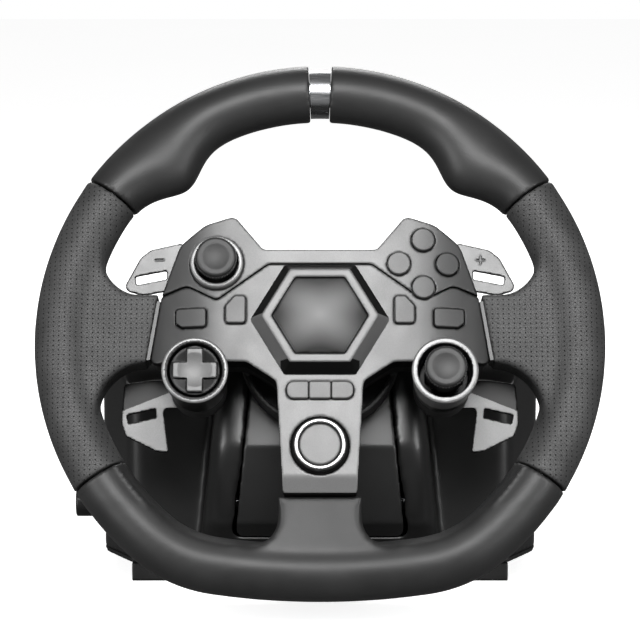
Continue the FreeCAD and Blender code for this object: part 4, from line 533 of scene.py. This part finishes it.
# %% [markdown]
# ## Holes in the leatherette
#
# The hides of the side grips are pierced with fine holes in upright rows. Thousands of real holes
# would be far too heavy, so each is a tiny dark plug set flush in the skin, with eight sides, whose
# dark colour is painted shade standing for the inside of the hole.
# Geometry Nodes lays a grid in front of the grip, casts each point onto it with Raycast, and puts
# a plug there, turned to the surface. The sizes are inputs of the tree, so the pattern can be
# changed in the modifier. The pitch is drawn a little wider than the real one, so that it shows.

# %% Perforation tree


def new_socket(tree, name, kind, value=None, incoming=True):
    """A named input or output of a Geometry Nodes tree."""
    way = "INPUT" if incoming else "OUTPUT"
    item = tree.interface.new_socket(name, in_out=way, socket_type=kind)
    if value is not None:
        item.default_value = value
    return item


def new_tree(name, sizes):
    """A tree with geometry in and out and one number input per size: (tree, inputs, output)."""
    tree = bpy.data.node_groups.new(name, "GeometryNodeTree")
    new_socket(tree, "Geometry", "NodeSocketGeometry")
    for label, value in sizes.items():
        new_socket(tree, label, "NodeSocketFloat", value)
    new_socket(tree, "Geometry", "NodeSocketGeometry", incoming=False)
    return tree, add(tree, "NodeGroupInput").outputs, add(tree, "NodeGroupOutput")


def finish_tree(tree, output, geometry, material):
    """Realizes the instances, sets the material and links the result to the output."""
    solid = add(tree, "GeometryNodeRealizeInstances", Geometry=geometry)
    painted = add(tree, "GeometryNodeSetMaterial", Geometry=solid.outputs[0], Material=material)
    tree.links.new(painted.outputs[0], output.inputs[0])


def grown_piece(name, carrier, tree, sizes, body):
    """Runs a tree on a carrier object's mesh and keeps the result as a plain mesh."""
    work = bpy.data.objects.new(name, carrier.data.copy())
    bpy.context.scene.collection.objects.link(work)
    modifier = work.modifiers.new("grow", "NODES")
    modifier.node_group = tree
    for item in tree.interface.items_tree:
        if item.in_out == "INPUT" and item.name in sizes:
            modifier[item.identifier] = sizes[item.name]
    baked(work)
    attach(work, body)
    print(name, "faces", len(work.data.polygons))
    return work


def perforations(material):
    """A grid of points cast along the wheel's axis onto the geometry, a plug on each."""
    tree, given, output = new_tree("perforations", {
        "Row pitch": 2.6, "Hole pitch": 2.3, "Hole radius": 0.4, "Side": 1.0, "Middle": 104.0,
        "Width": 72.0, "Height": 150.0,
    })

    def maths(operation, a, b=0.0):
        return add(tree, "ShaderNodeMath", {"operation": operation}, in0=a, in1=b).outputs[0]

    def scaled(vector, by):
        node = add(tree, "ShaderNodeVectorMath", {"operation": "SCALE"}, in0=vector)
        if isinstance(by, float):
            node.inputs["Scale"].default_value = by
        else:
            tree.links.new(by, node.inputs["Scale"])
        return node.outputs[0]

    across = maths("ROUND", maths("DIVIDE", given["Width"], given["Row pitch"]))
    along = maths("ROUND", maths("DIVIDE", given["Height"], given["Hole pitch"]))
    grid = add(tree, "GeometryNodeMeshGrid", Size_X=maths("MULTIPLY", given["Width"], MM),
               Size_Y=maths("MULTIPLY", given["Height"], MM), Vertices_X=across, Vertices_Y=along)
    spot = add(tree, "ShaderNodeCombineXYZ", X=maths("MULTIPLY", given["Middle"], MM), Y=0.0,
               Z=maths("MULTIPLY", given["Side"], 0.06))
    ahead = add(tree, "GeometryNodeTransform", Geometry=grid.outputs["Mesh"],
                Translation=spot.outputs[0])
    leaning = add(tree, "GeometryNodeTransform", Geometry=ahead.outputs[0], Translation=CENTRE,
                  Rotation=(math.pi / 2 - LEAN, 0, 0))
    aim = scaled(-OUT, given["Side"])
    cast = add(tree, "GeometryNodeRaycast", Target_Geometry=given["Geometry"], Ray_Direction=aim,
               Ray_Length=0.12)
    facing = add(tree, "ShaderNodeVectorMath", {"operation": "DOT_PRODUCT"},
                 in0=cast.outputs["Hit Normal"], in1=aim).outputs["Value"]
    seen = maths("MULTIPLY", cast.outputs["Is Hit"], maths("LESS_THAN", facing, -0.35))
    plug = add(tree, "GeometryNodeMeshCylinder", Vertices=8, Depth=0.10 * MM,
               Radius=maths("MULTIPLY", given["Hole radius"], MM))
    turn = add(tree, "FunctionNodeAlignRotationToVector", {"axis": "Z"},
               Vector=cast.outputs["Hit Normal"])
    plugs = add(tree, "GeometryNodeInstanceOnPoints", Points=leaning.outputs[0], Selection=seen,
                Instance=plug.outputs["Mesh"], Rotation=turn.outputs[0])
    here = add(tree, "GeometryNodeInputPosition").outputs[0]
    way = add(tree, "ShaderNodeVectorMath", {"operation": "SUBTRACT"},
              in0=cast.outputs["Hit Position"], in1=here).outputs[0]
    landed = add(tree, "GeometryNodeTranslateInstances", Instances=plugs.outputs[0],
                 Translation=way, Local_Space=False)
    finish_tree(tree, output, landed.outputs[0], material)
    return tree


pierced = perforations(hole_shade_plastic)
for grip, side in zip(grips, ("left", "right")):
    hand = -1.0 if side == "left" else 1.0
    for face, front in (("front", 1.0), ("back", -1.0)):
        sizes = {"Side": front, "Middle": 104.0 * hand}
        grown_piece("perforations_%s_%s" % (side, face), grip, pierced, sizes, "wheel")

# %% [markdown]
# ## Face, hub and their edges
#
# The face is a thin painted shell. After rounding, every polygon that doesn't look forward, on the
# edges of the button holes, the groove between the halves and the outer rim, and the well round
# the centre button, gets a black second material. This black is painted shade in the gaps and the
# recess, and gives each button its dark outline.

# %% Face shells and hub shell


def second_finish(work, material, wanted):
    """Gives the polygons for which wanted(u, v, w, forward) is true another material."""
    work.data.materials.append(material)
    index = len(work.data.materials) - 1
    count = 0
    for polygon in work.data.polygons:
        u, v, w = wheel_place(polygon.center)
        if wanted(u, v, w, polygon.normal.dot(OUT)):
            polygon.material_index = index
            count += 1
    print(work.name, material.name, count)


HOME_V = -55.5
HOME_WELL = 14.35
FACE_LEVEL = 24.0


def edge_and_well_shade(u, v, w, forward):
    """The face's edges and the well round the centre button, made black as painted shade."""
    well = math.hypot(u, v - HOME_V) < HOME_WELL and w < FACE_LEVEL - 0.35
    return forward < 0.45 or well


# The black on the edges, in the gaps and in the well is painted shade.
for part in ("upper", "lower"):
    shell = rounded("painted_face_" + part, "face_" + part, 0.58, 3, face_paint)
    second_finish(shell, black_abs_and_painted_shade, edge_and_well_shade)
rounded("hub_back", "hub_back_shell", 0.9, 3, shell_abs)

# %% [markdown]
# ## Centre badge and its frame
#
# The six-sided frame is pale on top. Its foot is in the black of the moulding on the two upper
# flanks, black as painted shade on the broad lower one, which faces down, and painted on the two
# lower sides. The badge is a black acrylic dome.

# %% Hexagon
HEX_V = 6.0
HEX_TOP = 35.0
bezel = rounded("hex_frame", "hex_bezel", 0.5, 3, bezel_paint)


def bezel_flank(u, v, w, forward):
    """The flanks made black: the upper four corners' sides, in the black of the moulding, and the lower middle
    one, which faces down, as painted shade.
    """
    if forward > 0.9 or w > HEX_TOP - 0.7:
        return False
    # Painted shade: the lower middle flank faces down and is made black.
    shaded_low_flank = v < HEX_V - 21.0 and abs(u) < 19.0
    return shaded_low_flank or v > HEX_V + 1.0


second_finish(bezel, black_abs_and_painted_shade, bezel_flank)
rounded("badge_dome", "hex_badge", 0.5, 3, badge_acrylic)

# %% [markdown]
# ## Pods, collar, sticks and direction pad
#
# Each control sits in a turned ring. The ring's front is silver, its mouth is black, and everything
# further back than 20 mm is black as painted shade. The outer wall is silver on the right but black
# on the left, where only a thin bright lip shows.

# %% Control pods
PAD_U, PAD_V = -59.4, -22.6
STICK_LEFT = (-50.0, 33.9)
STICK_RIGHT = (59.4, -22.6)


def ring_part(centre, inner, outer, front_only):
    """Tests for what isn't the ring's silver front."""
    def test(u, v, w, forward):
        radius = math.hypot(u - centre[0], v - centre[1])
        # Painted shade: the walls further back than w = 20 mm are made black, where shadow falls.
        if radius < inner or w < 20.0:
            return True
        return front_only and (radius > outer or forward < 0.3)
    return test


pad_pod = rounded("pad_ring", "dpad_pod", 0.45, 3, pod_paint)
second_finish(pad_pod, carrier_abs, ring_part((PAD_U, PAD_V), 14.4, 16.3, True))
stick_pod = rounded("stick_ring_right", "stick_pod_right", 0.45, 3, pod_paint)
second_finish(stick_pod, carrier_abs, ring_part(STICK_RIGHT, 13.1, 30.0, False))
collar = rounded("stick_ring_left", "stick_collar_left", 0.45, 3, pod_paint)
second_finish(collar, carrier_abs, ring_part(STICK_LEFT, 10.7, 30.0, False))
for side in ("left", "right"):
    rounded("thumb_stick_" + side, "stick_" + side, 0.4, 3, thumb_rubber)

pad = rounded("direction_pad", "dpad", 0.35, 2, carrier_abs)
PAD_CROSS_HALF, PAD_CROSS_ARM, PAD_TOP = 3.7, 10.4, 43.0


def pad_cross(u, v, w, forward):
    """The raised cross of the direction pad."""
    a, b = abs(u - PAD_U), abs(v - PAD_V)
    in_cross = min(a, b) < PAD_CROSS_HALF and max(a, b) < PAD_CROSS_ARM
    return in_cross and w > PAD_TOP - 0.7 and forward > 0.3


second_finish(pad, cap_paint, pad_cross)

# %% [markdown]
# ## Ribs round the thumb sticks
#
# A thumb stick's cap has a fine knurl round its side, so that it doesn't slip. A rib is repeated
# round a circle: Geometry Nodes puts a small bar on each point of a Mesh Circle. The tree runs on
# an empty mesh, and the number, radius and height of the ribs are its inputs.

# %% Knurl


def knurl(material):
    """Small upright bars round a circle in the wheel's plane."""
    tree, given, output = new_tree("knurl", {
        "Ribs": 44.0, "Ring radius": 9.55, "Rib width": 0.55, "Rib height": 3.0, "U": 0.0, "V": 0.0,
        "Level": 0.0,
    })

    def mm(socket_):
        return add(tree, "ShaderNodeMath", {"operation": "MULTIPLY"}, in0=socket_, in1=MM).outputs[0]

    ring = add(tree, "GeometryNodeMeshCircle", Vertices=given["Ribs"], Radius=mm(given["Ring radius"]))
    bar = add(tree, "GeometryNodeMeshCylinder", Vertices=6, Radius=mm(given["Rib width"]),
              Depth=mm(given["Rib height"]))
    bars = add(tree, "GeometryNodeInstanceOnPoints", Points=ring.outputs[0],
               Instance=bar.outputs["Mesh"])
    spot = add(tree, "ShaderNodeCombineXYZ", X=mm(given["U"]), Y=mm(given["V"]), Z=mm(given["Level"]))
    placed = add(tree, "GeometryNodeTransform", Geometry=bars.outputs[0], Translation=spot.outputs[0])
    leaning = add(tree, "GeometryNodeTransform", Geometry=placed.outputs[0], Translation=CENTRE,
                  Rotation=(math.pi / 2 - LEAN, 0, 0))
    finish_tree(tree, output, leaning.outputs[0], material)
    return tree


ribbed = knurl(thumb_rubber)
blank = bpy.data.objects.new("blank", bpy.data.meshes.new("blank"))
for side, (u, v), level in (("left", STICK_LEFT, 35.2), ("right", STICK_RIGHT, 50.5)):
    grown_piece("stick_knurl_" + side, blank, ribbed, {"U": u, "V": v, "Level": level},
                "stick_%s_cap" % side)
bpy.data.objects.remove(blank)

# %% [markdown]
# ## Paddles
#
# A paddle is a black moulded blade with a silver-lacquered front. The lacquer is masked at the
# edge, so the rounding round the outline and the slot stays black. Polygons that look straight
# forward get the lacquer, and the others don't. The lower paddles have a bare black root with two
# steps, so only their blade is silver.

# %% Paddles
UPPER_FRONT, LOWER_FRONT = -15.0, -19.6     # the lacquered fronts lie above these levels
MASK_HEIGHT, MASK_SLOPE = 8.0, 0.4          # upper edge of the lower paddles' lacquer
NO_MASK = 100.0
FACING = 0.93
# The lacquer's colour is painted slightly darker towards the wheel's sides: painted shade.
paddle_lacquer = metallic_paint("silver_lacquer", colour("#626262"), colour("#585858"), 0.3, 0.38)


def paddle(name, source_name, level, silver_below, slope):
    """A rounded black paddle, silver on its front below a slanting line."""
    work = rounded(name, source_name, 0.42, 3, carrier_abs)

    def front(u, v, w, forward):
        return forward > FACING and w > level and v < silver_below - slope * abs(u)

    second_finish(work, paddle_lacquer, front)
    tops = [wheel_place(v.co)[2] for v in work.data.vertices]
    print(name, "levels", round(min(tops), 2), round(max(tops), 2))


for side in ("left", "right"):
    paddle("shift_paddle_" + side, "paddle_upper_" + side, UPPER_FRONT, NO_MASK, 0.0)
    paddle("lever_paddle_" + side, "paddle_lower_" + side, LOWER_FRONT, MASK_HEIGHT, MASK_SLOPE)

# %% [markdown]
# ## Base
#
# The base is three mouldings: housing, front panel and tray. They are large and plain, so what
# makes them real is a generous rounding of every edge, which catches the light as a long streak.
# A coarser voxel is enough here, and Decimate then thins the flat areas.

# %% Base, clamp and lever


def block_edges(u, v, w):
    """The upright edges of the middle block, which are broad curves."""
    return 1.0 if 40.0 < abs(u) < 78.0 and w > -85.0 else 0.0


rounded("base_cover", "base_housing", 1.3, 5, base_abs, block_edges, 40, keep=0.5)
rounded("base_front", "base_front_panel", 0.9, 3, panel_abs)
rounded("base_tray", "base_bottom_tray", 1.4, 3, shell_abs, keep=0.5)
for side in ("left", "right"):
    rounded("clamp_hook_" + side, "clamp_jaw_" + side, 0.7, 2, jaw_nylon)
rounded("clamp_handle", "clamp_lever", 0.7, 4, base_abs)

# %% [markdown]
# ## Screws
#
# The hub and the tray are held by pan-head screws. One screw is drawn as geometry: a head with a
# cross recess cut by a boolean, on a shank. It is then put on every place where the CAD has one.
# The places are read from the CAD node's loose parts, so nothing is measured twice.

# %% Screws


def islands(source_name):
    """The loose parts of a node, each as a list of points."""
    shape = bmesh.new()
    shape.from_mesh(nodes[source_name].data)
    bmesh.ops.remove_doubles(shape, verts=shape.verts, dist=1e-6)
    seen, parts = set(), []
    for start in shape.verts:
        if start.index in seen:
            continue
        part, queue = [], [start]
        seen.add(start.index)
        while queue:
            vertex = queue.pop()
            part.append(vertex.co.copy())
            for edge in vertex.link_edges:
                other = edge.other_vert(vertex)
                if other.index not in seen:
                    seen.add(other.index)
                    queue.append(other)
        parts.append(part)
    shape.free()
    return parts


def screw_tree(material):
    """A cross-recessed pan-head screw on every vertex, its head at the vertex, facing +Z."""
    tree, given, output = new_tree("screws", {
        "Head radius": 2.6, "Head height": 1.8, "Shank radius": 1.4, "Length": 15.0, "Turn": 0.0,
    })

    def maths(operation, a, b=0.0):
        return add(tree, "ShaderNodeMath", {"operation": operation}, in0=a, in1=b).outputs[0]

    def lowered(geometry, depth, angle=0.0):
        down = add(tree, "ShaderNodeCombineXYZ", Z=maths("MULTIPLY", depth, -MM))
        return add(tree, "GeometryNodeTransform", Geometry=geometry, Translation=down.outputs[0],
                   Rotation=(0, 0, angle)).outputs[0]

    def cylinder(radius, depth, middle):
        part = add(tree, "GeometryNodeMeshCylinder", Vertices=20, Radius=maths("MULTIPLY", radius, MM),
                   Depth=maths("MULTIPLY", depth, MM))
        return lowered(part.outputs["Mesh"], middle)

    half_head = maths("MULTIPLY", given["Head height"], 0.5)
    head = cylinder(given["Head radius"], given["Head height"], half_head)
    shank = cylinder(given["Shank radius"], given["Length"],
                     maths("ADD", maths("MULTIPLY", given["Length"], 0.5), half_head))
    long_side = maths("MULTIPLY", given["Head radius"], 1.2 * MM)
    short_side = maths("MULTIPLY", given["Head radius"], 0.28 * MM)
    size = add(tree, "ShaderNodeCombineXYZ", X=long_side, Y=short_side, Z=2.0 * MM).outputs[0]
    cutters = []
    for angle in (0.0, math.pi / 2):
        bar = add(tree, "GeometryNodeMeshCube", Size=size)
        cutters.append(lowered(bar.outputs["Mesh"], 0.0, angle))
    difference = {"operation": "DIFFERENCE"}
    cut_once = add(tree, "GeometryNodeMeshBoolean", difference, in0=head, in1=cutters[0])
    cut_twice = add(tree, "GeometryNodeMeshBoolean", difference, in0=cut_once.outputs[0],
                    in1=cutters[1])
    both = add(tree, "GeometryNodeJoinGeometry")
    tree.links.new(cut_twice.outputs[0], both.inputs[0])
    tree.links.new(shank, both.inputs[0])
    axis = add(tree, "ShaderNodeCombineXYZ", X=given["Turn"])
    put = add(tree, "GeometryNodeInstanceOnPoints", Points=given["Geometry"], Instance=both.outputs[0],
              Rotation=axis.outputs[0])
    finish_tree(tree, output, put.outputs[0], material)
    return tree


screwed = screw_tree(dark_steel)


def screws(name, source_name, axis, turn, sizes):
    """Replaces a node of screws: a head at each island's outermost point along axis."""
    spots = []
    for part in islands(source_name):
        reach = max(p.dot(axis) for p in part)
        middle = sum(part, Vector()) / len(part)
        spots.append(middle + axis * (reach - middle.dot(axis)))
    mesh = bpy.data.meshes.new(name)
    mesh.from_pydata(spots, [], [])
    carrier = bpy.data.objects.new(name + "_places", mesh)
    work = grown_piece(name, carrier, screwed, {**sizes, "Turn": turn},
                       body_of_node[source_name])
    bpy.data.objects.remove(carrier)
    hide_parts(source_name)
    print(name, "places", len(spots))
    return work


screws("hub_screw_set", "hub_screws", -OUT, -math.pi / 2 - LEAN, {"Length": 15.0})
screws("tray_screw_set", "housing_screws", Vector((0, 0, -1)), math.pi,
       {"Head radius": 3.4, "Head height": 1.3, "Shank radius": 1.7, "Length": 12.0})

# %% [markdown]
# ## Floor, light and camera
#
# A plain white floor under a white sky. Both look white but give back little light, so the black
# parts keep their dark edges. The light is plain and soft: one large box above and in front, two
# tall ones at the sides, whose reflections run down the base's edges as streaks, and a weak one
# behind.

# %% Floor
floor_white, tree, shader = new_material("matt_white_floor")
coords = place_in(tree)
shade = ramp(tree, noise(tree, coords, 400.0), 0.3, 0.8, colour("#f4f4f4"), colour("#f8f8f8"))
seen = add(tree, "ShaderNodeLightPath").outputs["Is Camera Ray"]
paper = add(tree, "ShaderNodeMix", {"data_type": "RGBA"}, in0=seen)
paper.inputs[6].default_value = colour("#5a5a5a")
tree.links.new(shade, paper.inputs[7])
tree.links.new(paper.outputs[2], shader.inputs["Base Color"])
shader.inputs["Roughness"].default_value = 0.9
shader.inputs["Emission Color"].default_value = colour("#ffffff")
tree.links.new(spread(tree, seen, 0.02, 0.8), shader.inputs["Emission Strength"])

FLOOR_HALF = 4.0
ground = bpy.data.meshes.new("floor")
edge = [(-FLOOR_HALF, -FLOOR_HALF, 0), (FLOOR_HALF, -FLOOR_HALF, 0), (FLOOR_HALF, FLOOR_HALF, 0),
        (-FLOOR_HALF, FLOOR_HALF, 0)]
ground.from_pydata(edge, [], [(0, 1, 2, 3)])
ground.materials.append(floor_white)
floor = bpy.data.objects.new("floor", ground)
bpy.context.scene.collection.objects.link(floor)
floor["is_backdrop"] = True

# %% Lights


def softbox(name, place, target, width, height, power):
    """A rectangular area light that looks at a target."""
    light = bpy.data.lights.new(name, "AREA")
    light.shape = "RECTANGLE"
    light.size, light.size_y = width, height
    light.energy = power
    box = bpy.data.objects.new(name, light)
    box.location = place
    box.rotation_euler = (Vector(target) - Vector(place)).to_track_quat("-Z", "Y").to_euler()
    bpy.context.scene.collection.objects.link(box)


low_corner, high_corner = cad_box
middle = (Vector(low_corner) + Vector(high_corner)) / 2
softbox("key_box", (0.0, -1.25, 1.0), middle, 0.7, 0.45, 26.0)
softbox("left_strip", (-0.85, -0.85, 0.3), middle, 0.16, 0.8, 9.0)
softbox("right_strip", (0.85, -0.85, 0.3), middle, 0.16, 0.8, 9.0)
softbox("rear_box", (0.0, 1.2, 1.0), middle, 0.9, 0.5, 12.0)
world = bpy.data.worlds.new("studio")
world.use_nodes = True
sky = world.node_tree
seen = add(sky, "ShaderNodeLightPath").outputs["Is Camera Ray"]
sky.nodes["Background"].inputs["Color"].default_value = colour("#ffffff")
sky.links.new(spread(sky, seen, 0.16, 1.0), sky.nodes["Background"].inputs["Strength"])
bpy.context.scene.world = world
bpy.context.scene.view_settings.view_transform = "Standard"

# %% Camera
CAMERA_HEIGHT_ANGLE = math.radians(10.0)
CAMERA_AWAY = 1.5
camera_data = bpy.data.cameras.new("camera")
camera_data.lens = 164.0
camera = bpy.data.objects.new("camera", camera_data)
back = Vector((0, -math.cos(CAMERA_HEIGHT_ANGLE), math.sin(CAMERA_HEIGHT_ANGLE)))
camera.location = middle + back * CAMERA_AWAY
camera.rotation_euler = (-back).to_track_quat("-Z", "Y").to_euler()
bpy.context.scene.collection.objects.link(camera)
bpy.context.scene.camera = camera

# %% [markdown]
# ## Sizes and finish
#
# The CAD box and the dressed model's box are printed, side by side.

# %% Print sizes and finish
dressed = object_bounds()
sizes = {"cad": [list(c) for c in cad_box], "visual": [list(c) for c in dressed]}
print("size", sizes)
